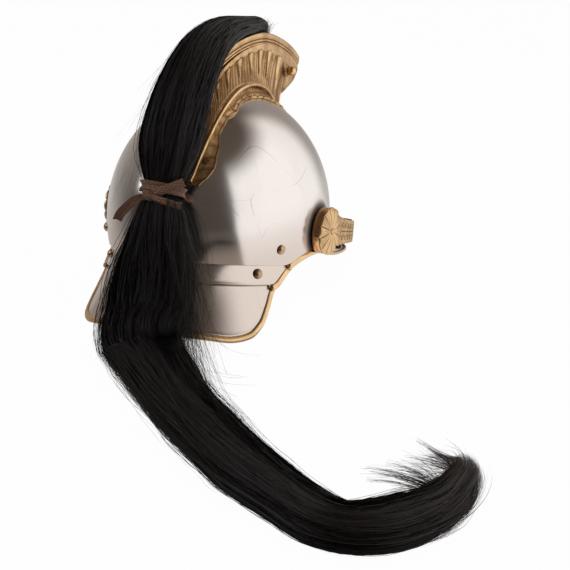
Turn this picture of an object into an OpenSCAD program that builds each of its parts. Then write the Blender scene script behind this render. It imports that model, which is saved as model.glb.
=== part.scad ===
// Cavalry helmet with a tall fluted crest and a long horsehair mane, standing on a table.
// Millimetres. The floor is z = 0, the face looks along -Y and the wearer's right is -X.

/* [Steel skull] */
// Width of the skull over the ears
skull_w = 214.8; // [190:0.2:240]
// Length of the skull from forehead to nape
skull_l = 256.8; // [230:0.2:280]
// Height of the dome above its widest ring
skull_h = 124.4; // [105:0.2:140]
// Thickness of the skull steel
skull_t = 1.2; // [0.8:0.1:2]
// Height of the skull's rear rim against the widest ring
rear_rim_z = -36; // [-44:0.5:-30]
// Height of the skull's forehead rim against the widest ring
front_rim_z = -18; // [-24:0.5:-12]

/* [Neck guard] */
// Thickness of the neck plates
plate_t = 1.2; // [0.8:0.1:1.6]
// Gap between one plate and the next
plate_gap = 1.85; // [0.9:0.05:2]
// Height of the lower seam against the widest ring
seam_z = -54; // [-60:0.5:-48]
// Height of the bottom edge at the rear
guard_z = -96; // [-110:1:-80]
// How far the guard flares at the rear, as a share of its radius
flare_rear = 0.29; // [0.1:0.01:0.4]
// How far the guard flares at the sides, as a share of its radius
flare_side = 0.18; // [0.05:0.01:0.3]
// Radius of a rivet's domed head
rivet_r = 4.8; // [3:0.1:6]

/* [Visor and binding] */
// How far the visor's widest place lies inside the skull's side
visor_tuck = 2.4; // [1.6:0.1:6]
// Reach of the visor in front of the skull
visor_reach = 41.6; // [24:0.2:48]
// Squareness of the visor's and the chin loop's outline
visor_n = 3.2; // [2:0.1:4]
// Height of the visor's edge against the widest ring
visor_z = -32.5; // [-36:0.5:-30]
// Rise of the visor's edge at its rear ends
visor_rise = 6; // [0:0.5:9]
// Half height of the brass binding
bind_h = 2.9; // [2:0.1:3.4]
// Half thickness of the brass binding
bind_t = 1.7; // [1.2:0.1:2.2]

/* [Crest] */
// Half width of the crest along its top
crest_top_w = 8.5; // [7:0.5:11]
// Half width of the crest at its foot
crest_foot_w = 24; // [18:0.5:28]
// Height of the foot roll above the steel
crest_foot_z = 12.8; // [10:0.2:14]
// Depth of the roll mouldings under the top edge
crest_roll_h = 12.5; // [8:0.5:16]
// Number of flutes on each side
flutes = 17; // [10:1:20]
// Height of the flutes
flute_h = 1.2; // [0:0.1:2]

/* [Rosettes and chin scales] */
// Radius of a rosette
rosette_r = 23.5; // [18:0.5:26]
// Radius of the ring behind a rosette
ring_r = 19; // [14:0.5:22]
// Height of the rosettes against the widest ring
ear_z = -4; // [-10:0.5:4]
// Radius of a rosette's pin
pin_r = 3.5; // [2.5:0.1:5]
// Running clearance of turning pieces on their pins
run = 0.06; // [0.02:0.01:0.1]
// Half width of the chin-scale loop beyond the skull's side
loop_gap = 4.6; // [3.8:0.1:8]
// Reach of the chin-scale loop in front of the visor's edge
loop_reach = 13; // [11:0.2:20]
// Squareness of the chin loop
loop_n = 3.02; // [2.6:0.05:3.4]
// Height of a chin scale
scale_h = 27; // [20:1:32]
// Number of scales on each side
scales = 16; // [8:1:20]

/* [Mane] */
// Fullness of the hair
mane_full = 1; // [0.8:0.05:1.1]
// Half height of the tail where it lies on the table
tail_h = 14; // [8:1:20]

/* [Hidden] */
ha = skull_w / 2;
hb = skull_l / 2;
hc = skull_h;
waist_z = rear_rim_z;
waist = sqrt(1 - pow(waist_z / hc, 2));
bind_gap = 0.08;
lame_d = skull_t + plate_gap;
guard_d = lame_d + plate_t + plate_gap;
ear_x = ha + 0.1;
ring_x1 = ear_x + 1.7;
leather_x0 = ring_x1 + 0.3;
leather_t = 2;
rosette_x0 = leather_x0 + leather_t + 4.2;
rosette_x1 = rosette_x0 + 1.4;
drum_r = rosette_r - 0.9;
visor_w = ha - visor_tuck;
visor_l = hb + visor_reach;
loop_w = ha + loop_gap;
loop_l = visor_l + loop_reach;
// The crest's and the mane's places are given for a skull 256.8 long and 124.4 high
long = skull_l / 256.8;
tall = skull_h / 124.4;

steel = [0.80, 0.78, 0.76];
brass = [0.71, 0.55, 0.35];
copper = [0.78, 0.52, 0.32];
hair = [0.09, 0.08, 0.08];
hide = [0.36, 0.24, 0.16];

// Edge heights against the angle from the nape
rear_rim = [[0, rear_rim_z], [60, rear_rim_z], [68, rear_rim_z + 0.5], [75, -28.5], [83, -23.5], [96, -21],
  [130, -20], [180, front_rim_z]];
guard_low = [[0, guard_z], [17, guard_z - 1], [27, guard_z - 2.2], [36, guard_z - 3.5],
  [44, guard_z], [49.5, guard_z + 10], [53.5, guard_z + 24], [57, guard_z + 37]];
guard_top = [[0, -41], [34, -41], [43, -33.5], [55, -33.5], [57, -36]];
lame_low = [[0, seam_z], [56, seam_z], [59, -53], [63, -47], [67, -40.5], [69.5, -37.5]];
lame_top = [[0, -24], [44, -24], [53, -12.5], [67, -12.5], [69.5, -16]];

// Smooth value of a list of [place, value] pairs
function knot(list, x, i = 0) = (i >= len(list) - 2 || x < list[i + 1][0]) ? i : knot(list, x, i + 1);
function ease(p0, p1, p2, p3, t) =
  0.5 * (2 * p1 + (p2 - p0) * t + (2 * p0 - 5 * p1 + 4 * p2 - p3) * t * t
  + (3 * p1 - p0 - 3 * p2 + p3) * t * t * t);
function at(list, x) =
  let (i = knot(list, x), n = len(list), a = list[max(i - 1, 0)], b = list[i], c = list[i + 1],
    d = list[min(i + 2, n - 1)], t = min(1, max(0, (x - b[0]) / (c[0] - b[0]))))
  ease(a[1], b[1], c[1], d[1], t);
function even(a, b, n) = [for (i = [0:n]) a + (b - a) * i / n];
function mix(a, b, t) = a + (b - a) * t;
function flip(list) = [for (i = [len(list) - 1:-1:0]) list[i]];

// Posture: the helmet leans forward until the neck guard and the visor both stand on the table
function guard_toe(a) = let (b = edge_bead(guard_low, a, guard_d)) b[0] + b[1] * (bind_h + 0.1);
visor_toe = [0, -visor_l - bind_t - bind_gap, visor_z + plate_t / 2 - bind_t];
toes = [for (a = [0:2:56]) let (p = guard_toe(a)) atan2(visor_toe[2] - p[2], p[1] - visor_toe[1])];
lean = max(toes);
stand_h = -visor_toe[1] * sin(lean) - visor_toe[2] * cos(lean) + 0.02;
function stood(p) = [p[0], p[1] * cos(lean) - p[2] * sin(lean), p[1] * sin(lean) + p[2] * cos(lean) + stand_h];
module stand() {
  translate([0, 0, stand_h]) rotate([lean, 0, 0]) children();
}

// Steel wall: angle from the nape, height, inset from the outer face
function flare(a) = flare_side + (flare_rear - flare_side) * pow(cos(a), 2);
function girth(a, z) = z > waist_z
  ? sqrt(1 - pow(z / hc, 2))
  : waist * (1 + flare(a) * pow((waist_z - z) / (waist_z - guard_z), 1.3));
function wall(a, z, d = 0) = let (r = girth(a, z)) [-(ha * r - d) * sin(a), (hb * r - d) * cos(a), z];
// Dome: angle from the nape, angle up, inset
function dome(a, up, d = 0) = [-(ha - d) * cos(up) * sin(a), (hb - d) * cos(up) * cos(a), (hc - d) * sin(up)];
// Crown: side distance, angle along the crown from the top (front positive), lift
function crown(x, m, lift = 0) =
  let (k = sqrt(1 - pow(x / ha, 2)), g = [x / ha / ha, -sin(m) * k / hb, cos(m) * k / hc])
  [x, -hb * k * sin(m), hc * k * cos(m)] + lift * g / norm(g);

// Closed skin through equal rings; an end that isn't convex brings its own triangles
module skin(rings, looped = false, ends = []) {
  n = len(rings[0]);
  m = len(rings);
  last = looped ? m - 1 : m - 2;
  sides = [for (i = [0:last], j = [0:n - 1])
    each [[i * n + j, (i + 1) % m * n + j, (i + 1) % m * n + (j + 1) % n],
      [i * n + j, (i + 1) % m * n + (j + 1) % n, i * n + (j + 1) % n]]];
  flat_ends = [[for (j = [0:n - 1]) j], [for (j = [n - 1:-1:0]) (m - 1) * n + j]];
  cut_ends = concat(ends, [for (f = ends) [for (j = [2:-1:0]) (m - 1) * n + f[j]]]);
  caps = looped ? [] : len(ends) > 0 ? cut_ends : flat_ends;
  polyhedron([for (r = rings) each r], concat(sides, caps));
}

// Plate between two grids of points, seen with the first grid outside
module plate(outer, inner) {
  m = len(outer);
  n = len(outer[0]);
  k = m * n;
  grid = [for (i = [0:m - 2], j = [0:n - 2])
    each [[i * n + j, (i + 1) * n + j, (i + 1) * n + j + 1], [i * n + j, (i + 1) * n + j + 1, i * n + j + 1]]];
  back = [for (f = grid) [f[2] + k, f[1] + k, f[0] + k]];
  loop = concat([for (j = [0:n - 1]) j], [for (i = [1:m - 1]) i * n + n - 1],
    [for (j = [n - 2:-1:0]) (m - 1) * n + j], [for (i = [m - 2:-1:1]) i * n]);
  rim = [for (i = [0:len(loop) - 1]) let (a = loop[i], b = loop[(i + 1) % len(loop)])
    each [[a, b, b + k], [a, b + k, a + k]]];
  polyhedron([for (r = outer) each r, for (r = inner) each r], concat(grid, back, rim));
}

// Bead of oval section along a path: points, and the direction that its height follows
module bead(path, downs, h, t, sides = 10, closed = false) {
  n = len(path);
  rings = [for (i = [0:n - 1])
    let (a = path[closed ? (i + n - 1) % n : max(i - 1, 0)], b = path[closed ? (i + 1) % n : min(i + 1, n - 1)],
      f = (b - a) / norm(b - a), o = cross(f, downs[i]), side = o / norm(o), up = cross(side, f))
    [for (j = [0:sides - 1]) path[i] + up * h * cos(j * 360 / sides) + side * t * sin(j * 360 / sides)]];
  skin(rings, closed);
}

// Turn +Z to a direction and move to a place
module aim(p, d) {
  translate(p) rotate([0, acos(d[2] / norm(d)), atan2(d[1], d[0])]) children();
}
module on_left() {
  mirror([1, 0, 0]) children();
}
function unit(v) = v / norm(v);

// Skull
rivet_a = 60.5;
rivet_a_z = -20.6;
rivet_b = 49.5;
rivet_b_z = -44;
function side_dir(a, z) = let (p = wall(a, z), q = wall(a + 1, z), r = wall(a, z + 1))
  unit(cross(q - p, r - p));
bolt_m = [17, -24];

module skull() {
  cols = 54;
  levels = [0, 0.05, 0.1, 0.16, 0.26, 0.38, 0.51, 0.65, 0.82, 1];
  rows = len(levels) - 1;
  spins = [for (i = [0:cols - 1]) i * 360 / cols];
  function fold(a) = a > 180 ? 360 - a : a;
  function ring(k, d) = [for (a = spins)
    let (low = asin(at(rear_rim, fold(a)) / (hc - d))) dome(a, mix(low, 87, levels[k]), d)];
  outer = [for (k = [0:rows]) ring(k, 0)];
  inner = [for (k = [rows:-1:0]) ring(k, skull_t)];
  n = cols;
  all = concat(outer, inner);
  m = len(all);
  half = len(outer);
  skip = half - 1;
  sides = [for (i = [0:m - 1]) if (i != skip) for (j = [0:n - 1])
    each [[i * n + j, (i + 1) % m * n + (j + 1) % n, i * n + (j + 1) % n],
      [i * n + j, (i + 1) % m * n + j, (i + 1) % m * n + (j + 1) % n]]];
  caps = [[for (j = [n - 1:-1:0]) skip * n + j], [for (j = [0:n - 1]) half * n + j]];
  color(steel) stand() difference() {
    polyhedron([for (r = all) each r], concat(sides, caps));
    translate([-ha - 5, 0, ear_z]) rotate([0, 90, 0]) cylinder(r = pin_r + 0.04, h = skull_w + 10, $fn = 32);
    rivet_hole(1);
    rivet_hole(-1);
    for (m2 = bolt_m) crown_tool(m2, 8) cylinder(r = 3.05, h = 16, center = true, $fn = 24);
  }
}
module crown_tool(m, lift) {
  p = crown(0, m, 0);
  q = crown(0, m, 1);
  aim(p, q - p) children();
}
module rivet_hole(s) {
  scale_x(s) aim(wall(rivet_a, rivet_a_z), side_dir(rivet_a, rivet_a_z))
    cylinder(r = 1.64, h = 16, center = true, $fn = 24);
}
module scale_x(s) {
  if (s < 0) mirror([1, 0, 0]) children();
  else children();
}

// Domed rivet with its shank and inner head, aimed outward
module rivet(depth, lift = 0.4) {
  translate([0, 0, lift]) intersection() {
    translate([0, 0, -rivet_r * 0.45]) sphere(r = rivet_r * 1.1, $fn = 36);
    cylinder(r = rivet_r, h = rivet_r, $fn = 36);
  }
  translate([0, 0, -depth]) cylinder(r = 1.55, h = depth + 1, $fn = 24);
  translate([0, 0, -depth - 1]) cylinder(r = 3.2, h = 1, $fn = 24);
}

// Bindings: place and downward direction of a bead along a plate's lower edge
function edge_point(list, a, d) = wall(a, at(list, abs(a)), d + plate_t / 2);
function edge_bead(list, a, d) = let (p = edge_point(list, a, d),
    run_on = edge_point(list, a + 0.5, d) - edge_point(list, a - 0.5, d),
    w = unit(cross(side_dir(a, p[2]), run_on)), down = w[2] > 0 ? -w : w) [p + down * (bind_h + bind_gap), down];
module edge_binding(list, from, to, n, d) {
  beads = [for (a = even(from, to, n)) edge_bead(list, a, d)];
  bead([for (b = beads) b[0]], [for (b = beads) b[1]], bind_h, bind_t, 8);
}

module skull_binding() {
  n = 40;
  path = [for (a = even(70, 290, n)) let (f = a > 180 ? 360 - a : a, z = at(rear_rim, f))
    wall(a, z - bind_h - bind_gap, skull_t / 2)];
  downs = [for (p = path) [0, 0, 1]];
  color(brass) stand() bead(path, downs, bind_h, bind_t, 8);
}

// Visor
function squarish(t, w, l, n) = let (r = pow(pow(abs(sin(t)) / w, n) + pow(abs(cos(t)) / l, n), -1 / n))
  [-r * sin(t), -r * cos(t)];
function visor_edge(t) = let (p = squarish(t, visor_w, visor_l, visor_n))
  [p[0], p[1], visor_z + visor_rise * pow(max(0, (abs(t) - 55) / 28), 2)];
visor_to = 83;
function visor_in(t, lift) = let (e = visor_edge(t), a = 180 - atan2(abs(e[0]) / ha, -e[1] / hb),
    z = at(rear_rim, a) + lift, p = wall(a, z, -0.15)) [sign(e[0]) * abs(p[0]), p[1], z];
function visor_row(t, k, rows) = let (i = visor_in(t, 1), e = visor_edge(t))
  mix(i, e, k / rows) + [0, 0, 2.4 * sin(180 * k / rows)];

module visor() {
  cols = 30;
  rows = 3;
  ts = even(-visor_to, visor_to, cols);
  top = [for (t = ts) concat([visor_in(t, 6), visor_in(t, 3.5)], [for (k = [0:rows]) visor_row(t, k, rows)])];
  out = [for (t = ts) [for (k = [0:rows + 2])
    let (e = visor_edge(t), d = unit([e[0], e[1], 0]), p = top[search_t(ts, t)][k])
    k < 3 ? p + d * plate_t + [0, 0, k == 2 ? plate_t * 0.6 : 0] : p + [0, 0, plate_t]]];
  color(steel) stand() plate(flip(out), flip(top));
}
function search_t(ts, t) = round((t - ts[0]) / (ts[1] - ts[0]));

module visor_binding() {
  n = 36;
  path = [for (t = even(-visor_to, visor_to, n)) let (f = visor_edge(t + 0.5) - visor_edge(t - 0.5),
    d = unit([-f[1], f[0], 0])) visor_edge(t) + d * (bind_t + bind_gap) + [0, 0, plate_t / 2]];
  downs = [for (p = path) [0, 0, 1]];
  color(brass) stand() bead(path, downs, bind_t, bind_t, 8);
}

module visor_rivets() {
  color(brass) stand() for (t = [-38, 0, 38]) {
    p = visor_in(t, 4.5);
    d = unit([p[0] / ha / ha, p[1] / hb / hb, p[2] / hc / hc]);
    aim(p + d * (plate_t + 0.35), d) intersection() {
      translate([0, 0, -1.6]) sphere(r = 3.3, $fn = 24);
      cylinder(r = 2.8, h = 3, $fn = 24);
    }
  }
}

// Brass plate over the forehead, rising to a point
module front_plate() {
  cols = 28;
  rows = 4;
  function plate_grid(d) = [for (a = even(118, 242, cols)) [for (k = [0:rows])
    let (f = abs(a - 180) / 62, low = at(rear_rim, a > 180 ? 360 - a : a) + 7.5,
      high = low + 9 + 21 * pow(1 - f, 1.6))
    dome(a, asin(mix(low, high, k / rows) / hc), d)]];
  color(brass) stand() plate(flip(plate_grid(-1.1)), flip(plate_grid(-0.15)));
}

// Crest: places from front to rear, as distance ahead of the centre and height
crest_top = [[0, 174, 157], [0.08, 160, 161.5], [0.16, 143, 166.5], [0.24, 122, 172], [0.28, 108, 175.5],
  [0.34, 85, 180], [0.42, 58, 182], [0.5, 26, 178.5], [0.58, -8, 170.5], [0.66, -42, 158],
  [0.74, -72, 141], [0.82, -95, 119], [0.9, -112, 92], [1, -125, 56]];
crest_low = [[0, 167, 149], [0.05, 150, 138.5], [0.1, 121, 128], [0.14, 100, 121.5], [0.17, 90, 116],
  [0.2, 85, 104], [0.22, 79, 100], [0.25, 60, 112], [0.28, 45, 120], [0.34, 32, 126], [0.42, 15, 131],
  [0.5, -6, 132.8], [0.58, -41, 128.3], [0.66, -72, 113.5], [0.74, -93, 98.5], [0.82, -106, 81],
  [0.9, -116, 61], [1, -124, 42]];
crest_low_w = [[0, 6], [0.05, 10], [0.1, 13], [0.14, 15], [0.17, 17], [0.2, 20], [0.25, crest_foot_w - 0.5],
  [0.28, crest_foot_w], [0.66, crest_foot_w], [0.74, crest_foot_w - 0.5], [0.82, crest_foot_w - 2],
  [0.9, crest_foot_w - 5], [1, crest_foot_w - 9]];
function column(list, c) = [for (p = list) [p[0], p[c]]];
top_y = column(crest_top, 1);
top_z = column(crest_top, 2);
low_y = column(crest_low, 1);
low_z = column(crest_low, 2);
function ridge(s) = [0, -at(top_y, s) * long, at(top_z, s) * tall];
function foot(s) = [0, -at(low_y, s) * long, at(low_z, s) * tall];
function tangent(s) = let (a = ridge(max(0, s - 0.01)), b = ridge(min(1, s + 0.01))) unit(b - a);
function roll_fit(s) = min(1, (1.05 - s) * 5);
function inward(s) = let (t = tangent(s)) [0, t[2], -t[1]];

// Side wall of the crest: station, share of the way down, inset
function side(s, t, d) =
  let (r = ridge(s), f = foot(s), span = max(1, abs((f - r) * inward(s))),
    start = min(0.9, (crest_roll_h * roll_fit(s) + 0.4) / span),
    q = mix(start, 1, t), p = mix(r, f, q), w = mix(crest_top_w - 0.5, at(crest_low_w, s), pow(q, 1.4)),
    body = sin(180 * min(1, max(0, (t - 0.06) / 0.9))),
    x = max(0, (s - 0.2) / 0.775),
    wave = pow(abs(sin(180 * flutes * (0.64 * x + 0.36 * x * x))), 0.7) * flute_h * body * (s > 0.2 ? 1 : 0))
  [-(w + wave - d), p[1], p[2]];

module crest_side() {
  stations = even(0.01, 0.995, 3 * flutes + 9);
  rows = 4;
  outer = [for (s = stations) [for (k = [0:rows]) side(s, k / rows, 0)]];
  inner = [for (s = stations) [for (k = [0:rows]) side(s, k / rows, 1.3)]];
  color(brass) stand() plate(flip(outer), flip(inner));
}
module crest_right() {
  crest_side();
}
module crest_left() {
  on_left() crest_side();
}

// Three rolls on each edge and a channel for the hair between them
module crest_top_roll() {
  w = crest_top_w;
  h = crest_roll_h;
  half = [[4.6, 0], [w - 1.6, 0], [w + 0.3, -1.8], [w + 0.3, -4.8], [w - 0.8, -6.2], [w + 0.3, -7],
    [w + 0.3, -8.5], [w - 0.6, -9.2], [w + 0.5, -10], [w + 0.5, -11.6], [w - 0.3, -h], [4.6, -h]];
  section = concat(half, [for (q = flip(half)) [-q[0], q[1]]], [[-4.6, -8], [4.6, -8]]);
  half_end = [[0, 1, 2], [0, 2, 3], [0, 3, 4], [0, 4, 25], [25, 4, 5], [25, 5, 6], [25, 6, 7], [25, 7, 11],
    [11, 7, 8], [11, 8, 9], [11, 9, 10]];
  function over(j) = j == 25 ? 24 : 23 - j;
  end = concat(half_end, [for (f = half_end) [over(f[2]), over(f[1]), over(f[0])]], [[25, 11, 12], [25, 12, 24]]);
  rings = [for (s = even(0, 1, 22)) let (r = ridge(s), n = inward(s), narrow = s < 0.06 ? 0.55 + 7.5 * s : 1)
    [for (q = section) r + [q[0] * narrow, 0, 0] - n * q[1] * roll_fit(s)]];
  color(brass) stand() skin(rings, ends = end);
}

// Plate that closes the front, from the overhanging tip to the forehead
front_line = [[0, 166, 147.5], [0.14, 149, 138.8], [0.3, 120, 129.2], [0.44, 97, 121.5], [0.56, 86.5, 111],
  [0.7, 86, 99], [0.85, 104, 75], [1, 121.5, 47]];
front_w = [[0, 4], [0.14, 8.4], [0.3, 11.6], [0.44, 13.8], [0.56, 16], [0.7, 18.5], [0.85, 20.5], [1, 17]];
function front_at(s) = [0, -at(column(front_line, 1), s) * long, at(column(front_line, 2), s) * tall];
module crest_front_plate() {
  stations = even(0, 1, 18);
  function grid(d) = [for (s = stations)
    let (a = front_at(max(0, s - 0.02)), b = front_at(min(1, s + 0.02)), t = unit(b - a), n = [0, t[2], -t[1]])
    [for (x = even(-1, 1, 6)) front_at(s) + [x * at(front_w, s), 0, 0] + n * (d - 2.2 * x * x)]];
  color(brass) stand() plate(flip(grid(4.6)), flip(grid(3.4)));
}

// Leafy foot of the crest, on the steel
foot_edge = [[-73, 27], [-69, 33], [-62, 36.5], [-54, 35], [-46, 31], [-37, 30.5], [-29, 33], [-18, 30.5],
  [-6, 34], [8, 39], [20, 40], [34, 37], [46, 33]];
foot_lift = [[-73, 0.34], [-68, 0.42], [-58, 0.66], [-48, 0.9], [-35, 0.95], [-19, 1], [-2, 0.91], [8, 0.8],
  [15, 0.66], [21, 0.52], [27, 0.42], [46, 0.25]];
foot_in = [[-73, 7], [-68, 5], [-58, 2.2], [-48, 0.5], [-35, 0], [27, 0], [36, 2.5], [46, 5]];
module crest_foot() {
  cols = 30;
  rows = 2;
  function roll_x(m) = crest_foot_w - at(foot_in, m);
  function roll_z(m) = crest_foot_z * at(foot_lift, m);
  function grid(extra) = [for (m = even(-73, 46, cols)) [for (k = [0:rows])
    let (t = k / rows, x = mix(roll_x(m) - 1.2, at(foot_edge, m), t),
      lift = 0.25 + (roll_z(m) - 3) * pow(1 - t, 1.7))
    crown(-x, m, lift + extra)]];
  path = [for (m = even(-72, 45, 24)) crown(-(roll_x(m) + 2.1), m, roll_z(m) - 1)];
  color(brass) stand() {
    plate(grid(1.1), grid(0));
    bead(path, [for (p = path) [0, 0.2, 1]], 1.9, 1.9, 6);
  }
}
module crest_foot_right() {
  crest_foot();
}
module crest_foot_left() {
  on_left() crest_foot();
}

module crest_ball() {
  color(brass) stand() translate([-19.5, -117 * long, 146 * tall]) {
    rotate(90) sphere(r = 4.6, $fn = 32);
    rotate([0, 90, 0]) cylinder(r = 2.2, h = 7.6, $fn = 24);
  }
}
module crest_ball_right() {
  crest_ball();
}
module crest_ball_left() {
  on_left() crest_ball();
}

module crest_screw() {
  p = crown(-28.5, -62, 4);
  q = crown(-28.5, -62, 5.3);
  color(brass) stand() aim(p, q - p) difference() {
    union() {
      cylinder(r = 3.1, h = 1.3, $fn = 28);
      translate([0, 0, 1.25]) cylinder(r = 2.5, h = 0.6, $fn = 28);
    }
    translate([-4, -0.4, 1.1]) cube([8, 0.8, 2]);
  }
}
module crest_screw_right() {
  crest_screw();
}
module crest_screw_left() {
  on_left() crest_screw();
}

// Bars inside the crest, bolted through the crown
module bridge(m) {
  color(brass) stand() crown_tool(m, 0) difference() {
    translate([-19, -7, 0.15]) cube([38, 14, 2.4]);
    cylinder(r = 3.06, h = 12, center = true, $fn = 24);
  }
}
module bolt(m) {
  color(steel) stand() crown_tool(m, 0) {
    translate([0, 0, -9]) cylinder(r = 3, h = 12, $fn = 24);
    translate([0, 0, 2.65]) cylinder(r = 5.5, h = 3.4, $fn = 6);
  }
}
module nut(m) {
  color(steel) stand() crown_tool(m, 0) translate([0, 0, -skull_t - 4.7]) difference() {
    cylinder(r = 5.5, h = 3, $fn = 6);
    translate([0, 0, -1]) cylinder(r = 3.04, h = 6, $fn = 24);
  }
}
module crest_bridge_front() {
  bridge(bolt_m[0]);
}
module crest_bridge_rear() {
  bridge(bolt_m[1]);
}
module crest_bolt_front() {
  bolt(bolt_m[0]);
}
module crest_bolt_rear() {
  bolt(bolt_m[1]);
}
module crest_nut_front() {
  nut(bolt_m[0]);
}
module crest_nut_rear() {
  nut(bolt_m[1]);
}

// Mane: strip in the crest's channel, then three lengths of one bundle
root_up = 1.4;
module mane_root() {
  section = [[4.3, root_up], [4.3, -7.6], [-4.3, -7.6], [-4.3, root_up]];
  rings = [for (s = even(0.3, 0.985, 18)) let (r = ridge(s), n = inward(s))
    [for (q = section) r + [q[0], 0, 0] - n * q[1] * roll_fit(s)]];
  color(hide) stand() skin(rings);
}

// Bundle in the helmet's frame: distance ahead, height, half width, half thickness
hair_up = [[80, 189, 5, 4], [62, 192.5, 9, 8], [28, 192.5, 14, 11], [-10, 188, 18, 14.5], [-46, 178.5, 22, 18],
  [-81, 163, 25.5, 21.5], [-110, 138, 28, 21.5], [-132, 106, 29.5, 21], [-148, 68, 30.5, 20.5]];
hair_tie = [[-153, 31, 19.5, 15], [-163, -2, 28, 17], [-169, -38, 39, 17], [-180, -74, 44, 14.5]];
// Bundle on the table: to the wearer's right, behind the centre, height, half width, half thickness
hair_low = [[0, 214, 31, 44, 15], [14, 236, 17.5, 42, 15], [52, 270, 15, 41, 14.6], [92, 316, 15, 41, 14.5],
  [130, 356, 15, 40, 14.4], [168, 391, 15, 39, 14.3], [206, 421, 15, 38, 14.2], [247, 446, 15, 36, 14],
  [286, 459, 14.5, 33, 13.5], [318, 450, 13.5, 29, 12.5], [339, 425, 12, 24, 11], [347, 394, 10.5, 18, 9.4],
  [341, 366, 9, 12, 8], [324, 351, 8, 7, 6], [306, 348, 7.5, 3, 3]];
function up_ring(q) = [stood([0, -q[0] * long, q[1] * tall]), q[2], q[3]];
function low_ring(q) = [[-q[0], q[1] + 180 * (long - 1), q[2] * tail_h / 14], q[3], q[4] * tail_h / 14];
strand = concat([for (q = hair_up) up_ring(q)], [for (q = hair_tie) up_ring(q)], [for (q = hair_low) low_ring(q)]);
function along(u) = let (i = min(len(strand) - 2, floor(u)), t = u - i, a = strand[max(0, i - 1)],
    b = strand[i], c = strand[i + 1], d = strand[min(len(strand) - 1, i + 2)])
  [for (k = [0:2]) ease(a[k], b[k], c[k], d[k], t)];
function hair_ring(u, n = 18) = let (q = along(u), p0 = along(max(0, u - 0.05))[0],
    p1 = along(min(len(strand) - 1.001, u + 0.05))[0], f = unit(p1 - p0),
    turn = min(1, max(0, (u - 12) / 2.5)), flat = mix([-1, 0, 0], unit(cross([0, 0, 1], f + [0, 0.001, 0])), turn),
    wide = unit(flat - f * (flat * f)), high = cross(f, wide))
  [for (j = [0:n - 1]) let (a = j * 360 / n, ripple = 1 - 0.055 * (1 - cos(5 * a + 40 * u)))
    q[0] + wide * q[1] * mane_full * cos(a) * ripple
    + high * q[2] * (sin(a) < 0 ? min(1, mane_full) : mane_full) * sin(a) * (sin(a) < 0 ? 1 : ripple)];
module hair_piece(from, to, n) {
  color(hair) skin([for (u = even(from, to, n)) hair_ring(u)]);
}
module mane_crest() {
  hair_piece(0, 5.993, 12);
}
module mane_fall() {
  hair_piece(6.007, 13.99, 18);
}
module mane_tail() {
  hair_piece(14.01, 26.99, 26);
}

// Ribbon tied round the mane
tie_u = 9;
module ribbon_band() {
  n = 28;
  q = along(tie_u);
  f = unit(along(tie_u + 0.05)[0] - along(tie_u - 0.05)[0]);
  high = cross([-1, 0, 0], f);
  function loop(r, h) = [for (j = [0:n - 1]) let (a = j * 360 / n)
    q[0] + [-1, 0, 0] * (q[1] + r) * cos(a) + high * (q[2] + r) * sin(a) + f * (h + 2.5 * cos(a))];
  color(hide) skin([loop(1.3, 4), loop(2.5, 4), loop(2.5, -4), loop(1.3, -4)], true);
}
module ribbon_ends() {
  q = along(tie_u)[0];
  back = along(tie_u)[2] + 2.9;
  function end(p, w, t) = [for (i = [0:len(p) - 1]) [p[i] + [0, 0, w[i]], p[i] + [0, t, w[i]],
    p[i] + [0, t, -w[i]], p[i] + [0, 0, -w[i]]]];
  color(hide) translate(q + [6, back, 0]) {
    skin([[[4, 0.4, 5], [4, 4.6, 4], [4, 4.6, -4], [4, 0.4, -5]],
      [[-4, 0.4, 5], [-4, 4.6, 4], [-4, 4.6, -4], [-4, 0.4, -5]]]);
    skin(flip(end([[3.2, 1, -1], [14, 4, -6], [22, 7, -14], [29, 8, -24]], [3.2, 4, 4.6, 4.8], 1.2)));
    skin(end([[-3.2, 1, 1], [-14, 2, 5], [-24, -1, 8], [-33, -5, 12]], [3, 3.6, 4, 4.4], 1.2));
    skin(end([[-3.2, 2.6, -2], [-14, 4, -4], [-23, 2, -7], [-31, -1, -9]], [3, 3.6, 4, 4.4], 1.2));
  }
}

// Rosettes: ring against the steel, then a fluted disc on a pin through the skull
module ear_ring() {
  color(copper) stand() translate([-ring_x1, 0, ear_z]) rotate([0, 90, 0]) difference() {
    cylinder(r = ring_r, h = ring_x1 - ear_x, $fn = 64);
    translate([0, 0, -1]) cylinder(r = pin_r + 0.04, h = 10, $fn = 32);
  }
}
module ear_ring_right() {
  ear_ring();
}
module ear_ring_left() {
  on_left() ear_ring();
}
module rosette() {
  petals = 12;
  color(brass) stand() translate([-rosette_x0, 0, ear_z]) rotate([0, -90, 0]) {
    difference() {
      union() {
        cylinder(r = rosette_r - 1.4, h = rosette_x1 - rosette_x0, $fn = 64);
        for (i = [0:petals - 1]) rotate(i * 360 / petals) translate([rosette_r - 5.2, 0, 0])
          cylinder(r = 5.2, h = rosette_x1 - rosette_x0 - 0.3, $fn = 24);
        translate([0, 0, 1]) cylinder(r1 = 18, r2 = 7, h = 2.9, $fn = 48);
        translate([0, 0, 2]) cylinder(r = 5, h = 3.4, $fn = 32);
      }
      translate([0, 0, -1]) cylinder(r = pin_r + 0.04, h = 5.4, $fn = 32);
    }
  }
}
module rosette_right() {
  rosette();
}
module rosette_left() {
  on_left() rosette();
}
module rosette_pin() {
  inside = ear_x - 5.3;
  color(brass) stand() translate([0, 0, ear_z]) rotate([0, -90, 0]) {
    translate([0, 0, inside]) cylinder(r = pin_r, h = rosette_x0 + 4 - inside, $fn = 32);
    translate([0, 0, inside]) cylinder(r = 8, h = 2, $fn = 32);
  }
}
module rosette_pin_right() {
  rosette_pin();
}
module rosette_pin_left() {
  on_left() rosette_pin();
}

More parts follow.
